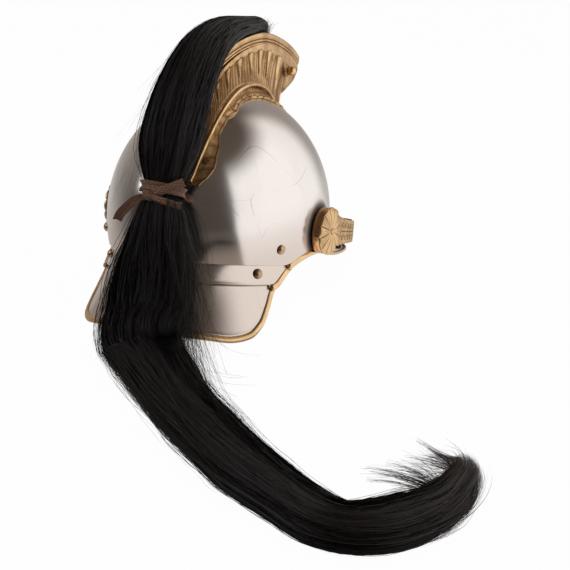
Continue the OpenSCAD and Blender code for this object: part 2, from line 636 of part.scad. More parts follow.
// Copper drum behind each rosette: it carries the chin scales and turns on the pin
module drum_bore(r) {
  translate([0, 0, ear_z]) rotate([0, -90, 0]) translate([0, 0, leather_x0 - 4]) cylinder(r = r, h = 16, $fn = 64);
}
module loop_drum() {
  deep = rosette_x0 - 0.3 - leather_x0;
  color(copper) stand() difference() {
    translate([-leather_x0, 0, ear_z]) rotate([0, -90, 0]) difference() {
      cylinder(r = drum_r, h = deep, $fn = 64);
      translate([0, 0, -1.2]) difference() {
        cylinder(r = drum_r - 1.2, h = deep, $fn = 64);
        cylinder(r = 8, h = deep, $fn = 48);
      }
    }
    drum_bore(pin_r + run);
  }
}
module loop_drum_right() {
  loop_drum();
}
module loop_drum_left() {
  on_left() loop_drum();
}

// Socket for a feather plume on the wearer's left
socket_y = -46;
socket_x = ear_x;
module plume_socket() {
  color(brass) stand() translate([socket_x, socket_y, 12]) difference() {
    union() {
      cylinder(r = 5.6, h = 38, $fn = 48);
      translate([0, 0, 36]) cylinder(r = 6.6, h = 2.5, $fn = 48);
      cylinder(r = 6.2, h = 2, $fn = 48);
    }
    translate([0, 0, 2]) cylinder(r = 4.3, h = 40, $fn = 48);
  }
}
module plume_bracket() {
  color(brass) stand() difference() {
    translate([socket_x - 17.5, socket_y - 4, 30]) cube([17.5, 8, 3]);
    translate([socket_x, socket_y, 0]) cylinder(r = 5.62, h = 60, $fn = 48);
    skin([for (z = even(-10, 60, 14)) [for (a = even(0, 350, 35)) dome(a, asin(z / (hc + 0.7)), -0.7)]]);
  }
}

// Leather lining: head band, tongues and the cord that gathers them
module liner_band() {
  n = 48;
  function ring(d, z) = [for (j = [0:n - 1]) let (a = j * 360 / n) wall(a, z, d)];
  color(hide) stand() skin([ring(6, -19), ring(6, 10), ring(8, 10), ring(8, -19)], true);
}
module liner_tongues() {
  count = 8;
  rows = 3;
  function leaf(a0, d) = [for (j = even(-1, 1, 2)) [for (k = [0:rows]) let (t = k / rows,
    w = 21 * (1 - pow(t, 1.6)) + 3.2) dome(a0 + j * w / (0.35 + 0.65 * (1 - t)), mix(4, 56, t), 9.3 + 18.7 * t * t + d)]];
  color(hide) stand() for (i = [0:count - 1]) plate(flip(leaf(i * 360 / count, -0.8)), flip(leaf(i * 360 / count, 0.8)));
}
module liner_cord() {
  path = [for (a = even(0, 350, 35)) dome(a, 57.2, 28)];
  color(brass) stand() bead(path, [for (p = path) [0, 0, 1]], 1.4, 1.4, 6, true);
}

// Neck plates
module neck_plate(low, top, end, d, cols, rows) {
  function grid(e) = [for (a = even(-end, end, cols)) [for (k = [0:rows])
    wall(a, mix(at(low, abs(a)), at(top, abs(a)), k / rows), e)]];
  plate(flip(grid(d)), flip(grid(d + plate_t)));
}
module neck_lame() {
  color(steel) stand() difference() {
    neck_plate(lame_low, lame_top, 69.5, lame_d, 44, 3);
    rivet_hole(1);
    rivet_hole(-1);
    guard_hole(1);
    guard_hole(-1);
  }
}
module guard_hole(s) {
  scale_x(s) aim(wall(rivet_b, rivet_b_z, lame_d), side_dir(rivet_b, rivet_b_z))
    cylinder(r = 1.64, h = 16, center = true, $fn = 24);
}
module neck_guard() {
  color(steel) stand() difference() {
    neck_plate(guard_low, guard_top, 57, guard_d, 40, 5);
    guard_hole(1);
    guard_hole(-1);
  }
}
module guard_binding() {
  color(brass) stand() edge_binding(guard_low, -56.8, 56.8, 44, guard_d);
}
module lame_binding_right() {
  color(brass) stand() edge_binding(lame_low, 58.2, 69.3, 11, lame_d);
}
module lame_binding_left() {
  on_left() lame_binding_right();
}
module lame_rivet_right() {
  color(copper) stand() aim(wall(rivet_a, rivet_a_z), side_dir(rivet_a, rivet_a_z))
    rivet(lame_d + plate_t + 0.3);
}
module lame_rivet_left() {
  on_left() lame_rivet_right();
}
module guard_rivet_right() {
  color(copper) stand() aim(wall(rivet_b, rivet_b_z, lame_d), side_dir(rivet_b, rivet_b_z))
    rivet(plate_t + plate_gap + plate_t + 0.3, 0.9);
}
module guard_rivet_left() {
  on_left() guard_rivet_right();
}

// Chin scales: one loop that turns on the rosette pins
function floor_z(y) = (-stand_h - y * sin(lean)) / cos(lean);
buckle_h = 21;
buckle_z = floor_z(-loop_l - 4.3) + buckle_h / 2 + 0.15;
loop_slope = (ear_z - buckle_z) / loop_l;
loop_to = 8;
function loop_at(t, d) = squarish(t, loop_w - d, loop_l - d, loop_n);
function loop_mid(t) = let (p = loop_at(t, 0)) [p[0], p[1], ear_z + loop_slope * p[1]];
function loop_out(t) = let (a = loop_at(t - 1, 0), b = loop_at(min(90, t + 1), 0), f = unit(b - a)) [-f[1], f[0], 0];
loop_steps = 60;
loop_turn = even(90, loop_to, loop_steps);
loop_len = [for (i = 0, s = 0; i <= loop_steps; i = i + 1,
  s = s + (i <= loop_steps ? norm(loop_at(loop_turn[i], 0) - loop_at(loop_turn[i - 1], 0)) : 0)) [s, loop_turn[i]]];
loop_end = loop_len[loop_steps][0];
function loop_point(s, out, up) = let (t = lookup(min(loop_end, max(0, s)), loop_len))
  loop_mid(t) + loop_out(t) * out + [0, 0, up];
leather_in = leather_x0 - loop_w;

module chin_leather() {
  function band(d) = [for (s = even(17, loop_end, 30)) [for (k = [-1, 1])
    loop_point(s, d, k * (s < loop_end - 40 ? scale_h / 2 - 1.5 : 9.5))]];
  color(hide) stand() difference() {
    plate(flip(band(leather_in + leather_t)), flip(band(leather_in)));
    drum_bore(drum_r + 0.15);
  }
}
module chin_leather_right() {
  chin_leather();
}
module chin_leather_left() {
  on_left() chin_leather();
}
module chin_scales_side() {
  from = 19.6;
  pitch = (loop_end - 6 - from) / scales;
  rows = 2;
  out = leather_in + leather_t + 0.12;
  stops = [0, 0.5, 0.94];
  stations = [for (i = [0:scales - 1], f = stops) [from + pitch * (i + f), f, i / (scales - 1)]];
  function grid(lift) = [for (q = stations) [for (k = [0:rows])
    let (v = 2 * k / rows - 1, h = mix(scale_h, 20.5, q[2]) / 2 - (q[1] < 0.2 ? 0.9 : 0))
    loop_point(q[0] - 4.5 * v * v * (q[1] + 0.2), out + lift * (0.5 + 1.1 * q[1]), v * h)]];
  color(brass) stand() difference() {
    plate(flip(grid(1)), flip(grid(0)));
    drum_bore(drum_r + 0.25);
  }
}
module chin_scales_right() {
  chin_scales_side();
}
module chin_scales_left() {
  on_left() chin_scales_side();
}
module chin_buckle() {
  w = 2 - 2 * loop_at(loop_to, 0)[0];
  h = buckle_h;
  color(brass) stand() translate([0, -loop_l + 0.5, buckle_z]) rotate([90, 0, 0]) difference() {
    linear_extrude(4.7) difference() {
      square([w, h], center = true);
      square([w - 18, h - 7], center = true);
    }
    translate([0, 20, 3.5]) rotate([90, 0, 0]) cylinder(r = 0.95, h = 40, $fn = 20);
  }
}
module buckle_bar() {
  color(brass) stand() translate([0, -loop_l - 3, buckle_z - 9.4]) cylinder(r = 0.9, h = 18.8, $fn = 20);
}
module buckle_tongue() {
  color(brass) stand() translate([0, -loop_l - 3, buckle_z]) difference() {
    union() {
      translate([0, 0, -1.6]) cylinder(r = 2, h = 3.2, $fn = 28);
      translate([-16.4, -2.4, -1.2]) cube([16.4, 1.1, 2.4]);
      translate([-1.2, -2.4, -1.2]) cube([1.2, 1.6, 2.4]);
    }
    translate([0, 0, -5]) cylinder(r = 0.9 + run, h = 10, $fn = 20);
  }
}

skull();
skull_binding();
visor();
visor_binding();
visor_rivets();
front_plate();
crest_right();
crest_left();
crest_top_roll();
crest_front_plate();
crest_foot_right();
crest_foot_left();
crest_ball_right();
crest_ball_left();
crest_screw_right();
crest_screw_left();
crest_bridge_front();
crest_bridge_rear();
crest_bolt_front();
crest_bolt_rear();
crest_nut_front();
crest_nut_rear();
mane_root();
mane_crest();
mane_fall();
mane_tail();
ribbon_band();
ribbon_ends();
ear_ring_right();
ear_ring_left();
rosette_right();
rosette_left();
rosette_pin_right();
rosette_pin_left();
loop_drum_right();
loop_drum_left();
plume_socket();
plume_bracket();
liner_band();
liner_tongues();
liner_cord();
lame_rivet_right();
lame_rivet_left();
neck_lame();
lame_binding_right();
lame_binding_left();
guard_rivet_right();
guard_rivet_left();
neck_guard();
guard_binding();
chin_leather_right();
chin_leather_left();
chin_scales_right();
chin_scales_left();
chin_buckle();
buckle_bar();
buckle_tongue();
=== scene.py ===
"""Cavalry helmet: polished steel, fluted brass crest, horsehair mane and ribbon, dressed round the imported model."""
import math

import bmesh
import bpy
import numpy as np
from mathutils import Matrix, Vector


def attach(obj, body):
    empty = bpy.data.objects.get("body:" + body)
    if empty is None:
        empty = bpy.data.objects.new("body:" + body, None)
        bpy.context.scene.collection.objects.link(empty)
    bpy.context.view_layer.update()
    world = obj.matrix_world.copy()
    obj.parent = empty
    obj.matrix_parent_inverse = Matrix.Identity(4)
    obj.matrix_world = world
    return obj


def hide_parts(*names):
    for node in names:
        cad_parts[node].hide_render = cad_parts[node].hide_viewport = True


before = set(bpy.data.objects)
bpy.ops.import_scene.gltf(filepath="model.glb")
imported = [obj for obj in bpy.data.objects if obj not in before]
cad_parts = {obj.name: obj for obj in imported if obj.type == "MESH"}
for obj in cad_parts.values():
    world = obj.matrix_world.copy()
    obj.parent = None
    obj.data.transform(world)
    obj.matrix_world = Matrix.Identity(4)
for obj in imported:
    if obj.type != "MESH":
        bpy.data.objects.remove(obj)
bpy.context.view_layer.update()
chance = np.random.default_rng(7)

# Camera
camera = bpy.data.objects.new("camera", bpy.data.cameras.new("camera"))
bpy.context.scene.collection.objects.link(camera)
camera.location = (-0.6207, 1.3902, 0.5745)
camera.rotation_euler = (math.radians(69.2), 0, math.radians(201.6))
camera.data.lens = 101.05
camera.data.sensor_width = 36
camera.data.clip_end = 50
bpy.context.scene.camera = camera

# Values, in millimetres
HALF_W, HALF_L, DOME_H = 107.4, 128.4, 124.4
STEEL_T, PLATE_T, PLATE_GAP = 1.2, 1.2, 1.85
REAR_RIM, GUARD = -36.0, -96.0
FLARE_REAR, FLARE_SIDE = 0.29, 0.18
VISOR_W, VISOR_L, VISOR_N, VISOR_Z, VISOR_RISE = 105.0, 170.0, 3.2, -32.5, 6.0
BIND_H, BIND_T, BIND_GAP = 2.9, 1.7, 0.08
EDGE_H, EDGE_T, EDGE_REACH = 3.25, 2.0, 3.3
TILT = 0.085  # slope of the rosette faces
CREST_TOP_W, CREST_FOOT_W, CREST_FOOT_Z, ROLL_H, FLUTES = 8.5, 24.0, 12.8, 12.5, 12
EAR_X, EAR_Z, DRUM_X, DRUM_R, ROSETTE_X = 107.5, -4.0, 109.5, 22.6, 115.7
LOOP_W, LOOP_L, LOOP_N, SCALE_H, SCALES = 112.0, 183.0, 3.02, 27.0, 16
LEAN, STAND = math.radians(13.7507), 73.4888
LAME_IN = STEEL_T + PLATE_GAP
GUARD_IN = LAME_IN + PLATE_T + PLATE_GAP
WAIST = math.sqrt(1 - (REAR_RIM / DOME_H) ** 2)
EAR_SPOT_Y, EAR_SPOT_Z = 0.00095, 0.0696  # the rosettes' middle on the table, in metres
NEAR_TOP, VISOR_END = 88.5, 83  # degrees
KNOB_X, KNOB_Y, KNOB_Z, KNOB_R = 14.2, -117, 146, 5.0
PETALS, RIM_R, RIM_WAVE, FACE_HIGH = 12, 22.55, 0.95, 5.35
FIRST_SCALE, LAST_SCALE, OVERLAP = 19.6, 6, 1.3
MANE_END, ROOTED_TO, TAIL_FROM = 26.9, 7.0, 19  # rows of the mane's tables
CORE_LOWEST, LOOSE_LOWEST, STRIP_LOWEST, HAIR_LOWEST = 0.8, 0.7, 0.6, 0.4
STRIP_STEPS, LOOSE_STEPS, TAPE = 88, 48, 10
CREST_T, FLUTES_FROM, FLUTES_SPAN = 1.2, 0.2, 0.775
TONGUES, BAND_OUT, BAND_IN = 8, 6.05, 7.95

# Edges of the plates: degrees from the nape, height
REAR_EDGE = [[0, -36], [60, -36], [68, -35.5], [75, -28.5], [83, -23.5], [96, -21], [130, -20], [180, -18]]
GUARD_LOW = [[0, -96], [17, -97], [27, -98.2], [36, -99.5], [44, -96], [49.5, -86], [53.5, -72], [57, -59]]
GUARD_TOP = [[0, -41], [34, -41], [43, -33.5], [55, -33.5], [57, -36]]
LAME_LOW = [[0, -54], [56, -54], [59, -53], [63, -47], [67, -40.5], [69.5, -37.5]]
LAME_TOP = [[0, -24], [44, -24], [53, -12.5], [67, -12.5], [69.5, -16]]
# The crest's lines: station, forward, up; its widths by station; its foot by degrees along the crown
CREST_TOP = np.array([[0, 173.5, 156], [0.08, 161.5, 164], [0.16, 145, 170.8], [0.24, 123, 176.5], [0.28, 109, 179],
                      [0.34, 86, 182], [0.42, 58, 182.5], [0.5, 26, 178.5], [0.58, -8, 170.5], [0.66, -42, 158],
                      [0.74, -72, 141], [0.82, -95, 119], [0.9, -112, 92], [1, -125, 56]])
CREST_LOW = np.array([[0, 167, 149], [0.05, 150, 138.5], [0.1, 121, 128], [0.14, 100, 121.5], [0.17, 90, 116],
                      [0.2, 85, 104], [0.22, 79, 100], [0.25, 60, 112], [0.28, 45, 120], [0.34, 32, 126],
                      [0.42, 15, 131], [0.5, -6, 132.8], [0.58, -41, 128.3], [0.66, -72, 113.5], [0.74, -93, 98.5],
                      [0.82, -106, 81], [0.9, -116, 61], [1, -124, 42]])
CREST_WIDTH = [[0, 6], [0.05, 10], [0.1, 13], [0.14, 15], [0.17, 17], [0.2, 20], [0.25, 23.5], [0.28, 24], [0.66, 24],
               [0.74, 23.5], [0.82, 22], [0.9, 19], [1, 15]]
FRONT_LINE = np.array([[0, 166, 147.5], [0.14, 149, 138.8], [0.3, 120, 129.2], [0.44, 97, 121.5], [0.56, 86.5, 111],
                       [0.7, 86, 99], [0.85, 104, 75], [1, 121.5, 47]])
FRONT_WIDTH = [[0, 4], [0.14, 8.4], [0.3, 11.6], [0.44, 13.8], [0.56, 16], [0.7, 18.5], [0.85, 20.5], [1, 17]]
FOOT_LIFT = [[-73, 0.34], [-68, 0.42], [-58, 0.66], [-48, 0.9], [-35, 0.95], [-19, 1], [-2, 0.91], [8, 0.8],
             [15, 0.66], [21, 0.52], [27, 0.42], [46, 0.25]]
FOOT_IN = [[-73, 7], [-68, 5], [-58, 2.2], [-48, 0.5], [-35, 0], [27, 0], [36, 2.5], [46, 5]]
FOOT_EDGE = [[-73, 27], [-69, 33], [-62, 36.5], [-54, 35], [-46, 31], [-37, 30.5], [-29, 33], [-18, 30.5],
             [-6, 34], [8, 39], [20, 40], [34, 37], [46, 33]]
# The mane from the crest down past the ribbon: forward, up, half width, half thickness, offset to the right
HAIR_UP = [[80, 188.5, 5, 4, 0], [62, 191, 9, 7.5, 0], [28, 188.5, 13, 8, 1], [-10, 184, 16.5, 10.8, 2],
           [-46, 175.5, 19, 15.2, 3.5], [-81, 160, 22.5, 18.5, 4.5], [-110, 136.5, 25.5, 20, 6],
           [-132, 105.5, 28, 20.5, 6.5], [-148, 68, 27.5, 19.5, 7], [-153, 31, 17.8, 14.5, 7.5],
           [-163, -2, 27, 16.5, 11.5], [-169, -38, 37.5, 16.5, 13.5], [-180, -74, 41, 14.5, 15.5]]
# The rest of it, in the table's frame: right, rear, up, half width, half thickness
HAIR_LOW = [[19, 216, 32, 36.5, 14.5], [26, 225, 19, 34, 14.5], [53, 254, 15, 32.3, 14.6], [93, 301, 15, 29, 14.5],
            [131, 338, 15, 29, 14.4], [168, 372, 15, 28.5, 14.3], [204, 402, 15, 28.5, 14.2], [246, 431, 15, 25.5, 14],
            [284, 450, 14.5, 26.5, 13.5], [312, 441, 13.5, 29, 12.5], [333, 417, 13, 24.5, 12],
            [346, 389, 12, 19, 10.5], [350, 355, 11, 14.5, 9], [347, 325, 9.5, 10, 7.5], [337, 306, 8, 5, 5]]
TIE = 9.0  # the ribbon's place, in rows of the two tables
UP = np.array([0, 0, 1.0])


# Measuring
def floats(*values):
    return [np.asarray(k, float) for k in values]


def row(low, high, n):
    return np.linspace(low, high, n)[None]


def column(low, high, n):
    return np.linspace(low, high, n)[:, None]


def at(pairs, x):
    """Smooth value of a list of [place, value] pairs."""
    p, x = floats(pairs, x)
    i = np.clip(np.searchsorted(p[:, 0], x, side="right") - 1, 0, len(p) - 2)
    a, b, c, d = p[np.maximum(i - 1, 0), 1], p[i, 1], p[i + 1, 1], p[np.minimum(i + 2, len(p) - 1), 1]
    t = np.clip((x - p[i, 0]) / (p[i + 1, 0] - p[i, 0]), 0, 1)
    return 0.5 * (2 * b + (c - a) * t + (2 * a - 5 * b + 4 * c - d) * t ** 2 + (3 * b - a - 3 * c + d) * t ** 3)


def unit(v):
    return v / np.maximum(np.linalg.norm(v, axis=-1, keepdims=True), 1e-9)


def points(x, y, z):
    return np.stack(np.broadcast_arrays(*floats(x, y, z)), -1)


def smooth(x, low, high):
    t = np.clip((np.asarray(x, float) - low) / (high - low), 0, 1)
    return t * t * (3 - 2 * t)


def heading(path):
    """Directions along a path."""
    return unit(np.gradient(path, axis=0))


def wave(x):
    """Cosine from nought to one."""
    return 0.5 + 0.5 * np.cos(x)


def bell(x, middle, width):
    return np.exp(-((x - middle) / width) ** 2)


def turns(steps):
    """Angles round a full circle."""
    return np.linspace(0, 2 * np.pi, steps, endpoint=False)


def folded(a):
    """Angle from the nape, the same on both sides."""
    return np.where(a > 180, 360 - a, a)


def through(knots, u):
    """Smooth columns of a table, at fractions between its rows."""
    return [at(np.stack([np.arange(len(knots)), values], -1), u) for values in knots.T]


def stood(p):
    """From the helmet's own frame to the table."""
    p = np.asarray(p, float)
    c, s = math.cos(LEAN), math.sin(LEAN)
    return points(p[..., 0], p[..., 1] * c - p[..., 2] * s, p[..., 1] * s + p[..., 2] * c + STAND)


def mirrored(p):
    return np.asarray(p) * np.array([-1, 1, 1])


def wall(a, z, d=0.0):
    """Steel wall: angle from the nape in degrees, height, inset."""
    a, z, d = floats(a, z, d)
    t = np.radians(a)
    flare = FLARE_SIDE + (FLARE_REAR - FLARE_SIDE) * np.cos(t) ** 2
    low = WAIST * (1 + flare * np.maximum(0, (REAR_RIM - z) / (REAR_RIM - GUARD)) ** 1.3)
    r = np.where(z > REAR_RIM, np.sqrt(np.maximum(0, 1 - (z / DOME_H) ** 2)), low)
    return points(-(HALF_W * r - d) * np.sin(t), (HALF_L * r - d) * np.cos(t), z)


def dome(a, up, d=0.0):
    """Dome: angle from the nape, angle up, inset."""
    t, u = np.radians(a), np.radians(up)
    return points(-(HALF_W - d) * np.cos(u) * np.sin(t), (HALF_L - d) * np.cos(u) * np.cos(t),
                  (DOME_H - d) * np.sin(u))


def crown(x, m, lift=0.0):
    """Crown: side distance, angle along the crown from the top, lift."""
    x, m, lift = np.broadcast_arrays(*floats(x, m, lift))
    k, t = np.sqrt(1 - (x / HALF_W) ** 2), np.radians(m)
    n = unit(points(x / HALF_W ** 2, -np.sin(t) * k / HALF_L, np.cos(t) * k / DOME_H))
    return points(x, -HALF_L * k * np.sin(t), DOME_H * k * np.cos(t)) + lift[..., None] * n


def facing(a, z):
    p, q, r = wall(a, z), wall(a + 1, z), wall(a, z + 1)
    return unit(np.cross(q - p, r - p))


# Making meshes
def quads(rows, cols, wrap_rows=False, wrap_cols=False, start=0):
    i = np.arange(rows if wrap_rows else rows - 1)[:, None]
    j = np.arange(cols if wrap_cols else cols - 1)[None, :]
    a, b = i * cols, (i + 1) % rows * cols
    k = (j + 1) % cols
    return np.stack(np.broadcast_arrays(a + j, b + j, b + k, a + k), -1).reshape(-1, 4) + start


def piece(name, verts, faces, finish, body="helmet", nodes=(), table=False, soft_edges=None, tidy=True, **masks):
    """One object, from millimetres in the helmet's frame, or the table's. A finish is a material and its slot, of which
    only the material is used, and a mask is a value at each point for the materials."""
    material, slot = finish
    verts = (np.asarray(verts, float) if table else stood(verts)).reshape(-1, 3) * 0.001
    mesh = bpy.data.meshes.new(name)
    if isinstance(faces, np.ndarray):
        mesh.vertices.add(len(verts))
        mesh.vertices.foreach_set("co", verts.ravel())
        n = faces.shape[1]
        mesh.loops.add(faces.size)
        mesh.loops.foreach_set("vertex_index", faces.ravel())
        mesh.polygons.add(len(faces))
        mesh.polygons.foreach_set("loop_start", np.arange(0, faces.size, n))
        mesh.update(calc_edges=True)
        mesh.validate()
    else:
        mesh.from_pydata(verts.tolist(), [], [list(map(int, f)) for f in faces])
    if tidy:
        work = bmesh.new()
        work.from_mesh(mesh)
        bmesh.ops.recalc_face_normals(work, faces=work.faces)
        work.to_mesh(mesh)
        work.free()
    mesh.shade_smooth()
    for key, value in masks.items():
        layer = mesh.attributes.new(key, "FLOAT", "POINT")
        layer.data.foreach_set("value", np.asarray(value, np.float32).ravel())
    mesh.materials.append(material)
    obj = bpy.data.objects.new(name, mesh)
    bpy.context.scene.collection.objects.link(obj)
    if soft_edges is not None:
        mesh.set_sharp_from_angle(angle=math.radians(soft_edges))
    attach(obj, body)
    if nodes:
        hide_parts(*nodes)
    return obj


def flipped(faces):
    return faces[:, ::-1] if isinstance(faces, np.ndarray) else [f[::-1] for f in faces]


def sided(side, name, cad, verts, faces, finish, body="helmet", **more):
    """A piece on the wearer's right, or its mirror image on the left."""
    if side == "left":
        verts, faces = mirrored(verts), flipped(faces)
    piece(name.format(side), verts, faces, finish, body, [cad.format(side)], **more)


def pair(*what, **more):
    for side in ("right", "left"):
        sided(side, *what, **more)


def plate(outer, inner):
    """Closed plate between two equal grids."""
    m, n = outer.shape[:2]
    k = m * n
    front = quads(m, n)
    back = quads(m, n, start=k)[:, ::-1]
    rim = np.concatenate([np.arange(n), np.arange(2 * n - 1, m * n, n), np.arange(m * n - 2, (m - 1) * n - 1, -1),
                          np.arange((m - 2) * n, 0, -n)])
    nxt = np.roll(rim, -1)
    edge = np.stack([rim, nxt, nxt + k, rim + k], -1)
    return np.concatenate([outer.reshape(-1, 3), inner.reshape(-1, 3)]), np.concatenate([front, back, edge])


def twice(mask):
    return np.concatenate([np.ravel(mask), np.ravel(mask)])


def tube(rings, closed=False):
    """Skin through equal rings, with end caps unless it is closed."""
    m, n = rings.shape[:2]
    verts, faces = rings.reshape(-1, 3), quads(m, n, wrap_rows=closed, wrap_cols=True)
    if closed:
        return verts, faces
    j = np.arange(n)
    k = (j + 1) % n
    last = (m - 1) * n
    caps = np.concatenate([np.stack([j, k, np.full(n, m * n)], -1),
                           np.stack([last + k, last + j, np.full(n, m * n + 1)], -1)])
    return (np.concatenate([verts, [rings[0].mean(0), rings[-1].mean(0)]]), [*faces.tolist(), *caps.tolist()])


def bead(path, downs, h, t):
    """Oval bead along a path."""
    path, downs = floats(path, downs)
    f = heading(path)
    side = unit(np.cross(f, downs))
    up = np.cross(side, f)
    a = turns(14)
    h, t = (np.broadcast_to(k, len(path))[:, None, None] for k in floats(h, t))
    return tube(path[:, None] + up[:, None] * h * np.cos(a)[None, :, None]
                + side[:, None] * t * np.sin(a)[None, :, None])


def joined(parts):
    """Several (verts, faces) as one."""
    verts, faces, start = [], [], 0
    for v, f in parts:
        verts.append(v)
        faces += [[int(i) + start for i in face] for face in f]
        start += len(v)
    return np.concatenate(verts), faces


def turned(profile, steps=64):
    """Solid of revolution round Z from (radius, height) pairs."""
    a = turns(steps)
    p = np.array(profile, float)[:, None]
    return tube(points(p[..., 0] * np.cos(a), p[..., 0] * np.sin(a), p[..., 1]))


# Finishes
def fill(tree, n, inputs):
    """Link or set a node's inputs."""
    for key, value in inputs.items():
        if isinstance(value, bpy.types.NodeSocket):
            tree.links.new(value, n.inputs[key])
        else:
            n.inputs[key].default_value = value
    return n


def node(tree, kind, inputs=None, **settings):
    n = tree.nodes.new("ShaderNode" + kind)
    for key, value in settings.items():
        setattr(n, key, value)
    return fill(tree, n, inputs or {})


def here(tree):
    return node(tree, "TexCoord").outputs["Object"]


def parts_of(tree, vector):
    return node(tree, "SeparateXYZ", {0: vector}).outputs


def ramp(tree, value, low, high, to_low=0.0, to_high=1.0):
    return node(tree, "MapRange", {0: value, 1: low, 2: high, 3: to_low, 4: to_high},
                interpolation_type="SMOOTHSTEP").outputs[0]


def noise(tree, where, scale, detail=4.0, rough=0.55, distort=0.0):
    return node(tree, "TexNoise", {"Vector": where, "Scale": scale, "Detail": detail, "Roughness": rough,
                                             "Distortion": distort}).outputs["Fac"]


def calc(tree, how, a, b=0.0, **settings):
    return node(tree, "Math", {0: a, 1: b}, operation=how, **settings).outputs[0]


def plus(tree, a, b, **settings):
    return calc(tree, "ADD", a, b, **settings)


def times(tree, a, b):
    return calc(tree, "MULTIPLY", a, b)


def mix(tree, amount, a, b):
    """Blend of two colours."""
    a, b = ((*k, 1.0) if isinstance(k, tuple) else k for k in (a, b))
    return node(tree, "Mix", {0: amount, 6: a, 7: b}, data_type="RGBA").outputs[2]


def bump(tree, height, strength, distance, **below):
    return node(tree, "Bump", {"Height": height, "Strength": strength, "Distance": distance,
                                         **below}).outputs[0]


def stored(tree, name):
    """Value that a mesh carries at its points."""
    return node(tree, "Attribute", attribute_name=name).outputs["Fac"]


def turned_noise(g, where, scale, turn, *look):
    laid = node(g, "Mapping", {"Vector": where, "Scale": scale, "Rotation": turn}).outputs[0]
    return noise(g, laid, *look)


def hairlines(g, given):
    """Fine polishing scratches: thin lines in several directions."""
    where, total = here(g), 0.0
    for turn in ((0.3, 0.2, 0.9), (1.1, 0.5, 0.1), (0.5, 1.2, 2.0)):
        n = turned_noise(g, where, (40, 40, 1400), turn, given["Scale"], 2.0, 0.6)
        total = calc(g, "MAXIMUM", total, ramp(g, n, 0.66, 0.78))
    return times(g, total, ramp(g, noise(g, where, 18.0, 3.0), 0.35, 0.7))


def long_scratches(g, given):
    """A few long thin scratches: the contour lines of a slow noise, broken up."""
    where, total = here(g), 0.0
    for scale, level, turn in ((9.0, 0.44, (0.4, 0.1, 0.3)), (7.0, 0.5, (1.3, 0.9, 0.2)),
                               (12.0, 0.56, (0.2, 0.8, 1.4))):
        n = turned_noise(g, where, (1, 1, 1), turn, scale, 0.0, 0.5, 0.25)
        far = calc(g, "ABSOLUTE", calc(g, "SUBTRACT", n, level))
        total = calc(g, "MAXIMUM", total, ramp(g, far, 0.0, given["Width"], 1.0, 0.0))
    return times(g, total, ramp(g, noise(g, where, 30.0, 2.0), 0.5, 0.62))


def tarnish(g, given):
    """Cloudy staining, darker by the mask it is given: patina in hollows, and dirt and painted shade where a mesh's
    mask carries them.
    """
    where = here(g)
    clouds = ramp(g, noise(g, where, given["Scale"], 6.0, 0.62, 0.4), 0.36, 0.68)
    specks = ramp(g, noise(g, where, 900.0, 2.0), 0.6, 0.74)
    stained = plus(g, times(g, clouds, given["Clouds"]), times(g, specks, given["Specks"]))
    return plus(g, stained, times(g, given["Recess"], given["Depth"]), use_clamp=True)


def group(name, build, **inputs):
    """Node group that makes one mask from numbers."""
    g = bpy.data.node_groups.new(name, "ShaderNodeTree")
    for n, value in inputs.items():
        g.interface.new_socket(n, in_out="INPUT", socket_type="NodeSocketFloat").default_value = value
    g.interface.new_socket("Mask", in_out="OUTPUT", socket_type="NodeSocketFloat")
    made = build(g, g.nodes.new("NodeGroupInput").outputs)
    g.links.new(made, g.nodes.new("NodeGroupOutput").inputs["Mask"])
    return g


HAIRLINES = group("hairline scratches", hairlines, Scale=1.0)
SCRATCHES = group("long scratches", long_scratches, Width=0.006)
TARNISH = group("tarnish", tarnish, Scale=30.0, Clouds=0.5, Specks=0.3, Recess=0.0, Depth=0.8)


def effect(tree, what, **values):
    return node(tree, "Group", values, node_tree=what).outputs[0]


def blank(name):
    m = bpy.data.materials.new(name)
    m.use_nodes = True
    return m, m.node_tree, m.node_tree.nodes["Principled BSDF"]


def steel(name, tint, stain, rough):
    """Polished plate with painted shade and reflection, warmer low and high up, and a painted shadow round the rosettes
    so that it doesn't mirror their drums.
    """
    m, tree, surface = blank(name)
    cloud = effect(tree, TARNISH, Scale=9.0, Clouds=0.62, Specks=0.12)
    fine = effect(tree, HAIRLINES, Scale=1.0)
    lines = effect(tree, SCRATCHES, Width=0.0026)
    colour = mix(tree, times(tree, cloud, 0.45), tint, stain)
    colour = mix(tree, times(tree, lines, 0.42), colour, SCRATCH_TINT)
    where = here(tree)
    spot = parts_of(tree, where)
    off_y, off_z = plus(tree, spot["Y"], -EAR_SPOT_Y), plus(tree, spot["Z"], -EAR_SPOT_Z)
    ear = calc(tree, "SQRT", plus(tree, times(tree, off_y, off_y), times(tree, off_z, off_z)))
    smoke = ramp(tree, ear, 0.0238, 0.0385, 1.0, 0.0)
    # Painted shadow: the steel is coloured dark in a ring round each rosette's drum.
    drum_shadow = ramp(tree, ear, 0.0236, 0.0325, 0.92, 0.0)
    # Painted shade and reflection: warmer, darker steel towards the bottom, and towards the top where the dome mirrors
    # the dark ceiling.
    low = ramp(tree, spot["Z"], 0.055, 0.112, 0.80, 0.0)
    high = ramp(tree, spot["Z"], 0.150, 0.205, 0.0, 0.62)
    colour = mix(tree, plus(tree, low, high), colour, PAINTED_SHADE_TINT)
    # Painted shadow round the drums.
    colour = mix(tree, drum_shadow, colour, DRUM_SHADOW_TINT)
    r = plus(tree, times(tree, cloud, 0.10), times(tree, fine, 0.10))
    r = plus(tree, plus(tree, r, times(tree, smoke, 0.5)), rough)
    wavy = bump(tree, noise(tree, where, 14.0, 1.0, 0.4), 0.22, 0.0010)
    scored = bump(tree, plus(tree, fine, lines), 0.08, 0.0002, Normal=wavy)
    fill(tree, surface, {"Base Color": colour, "Metallic": 1.0, "Roughness": r, "Normal": scored})
    return m


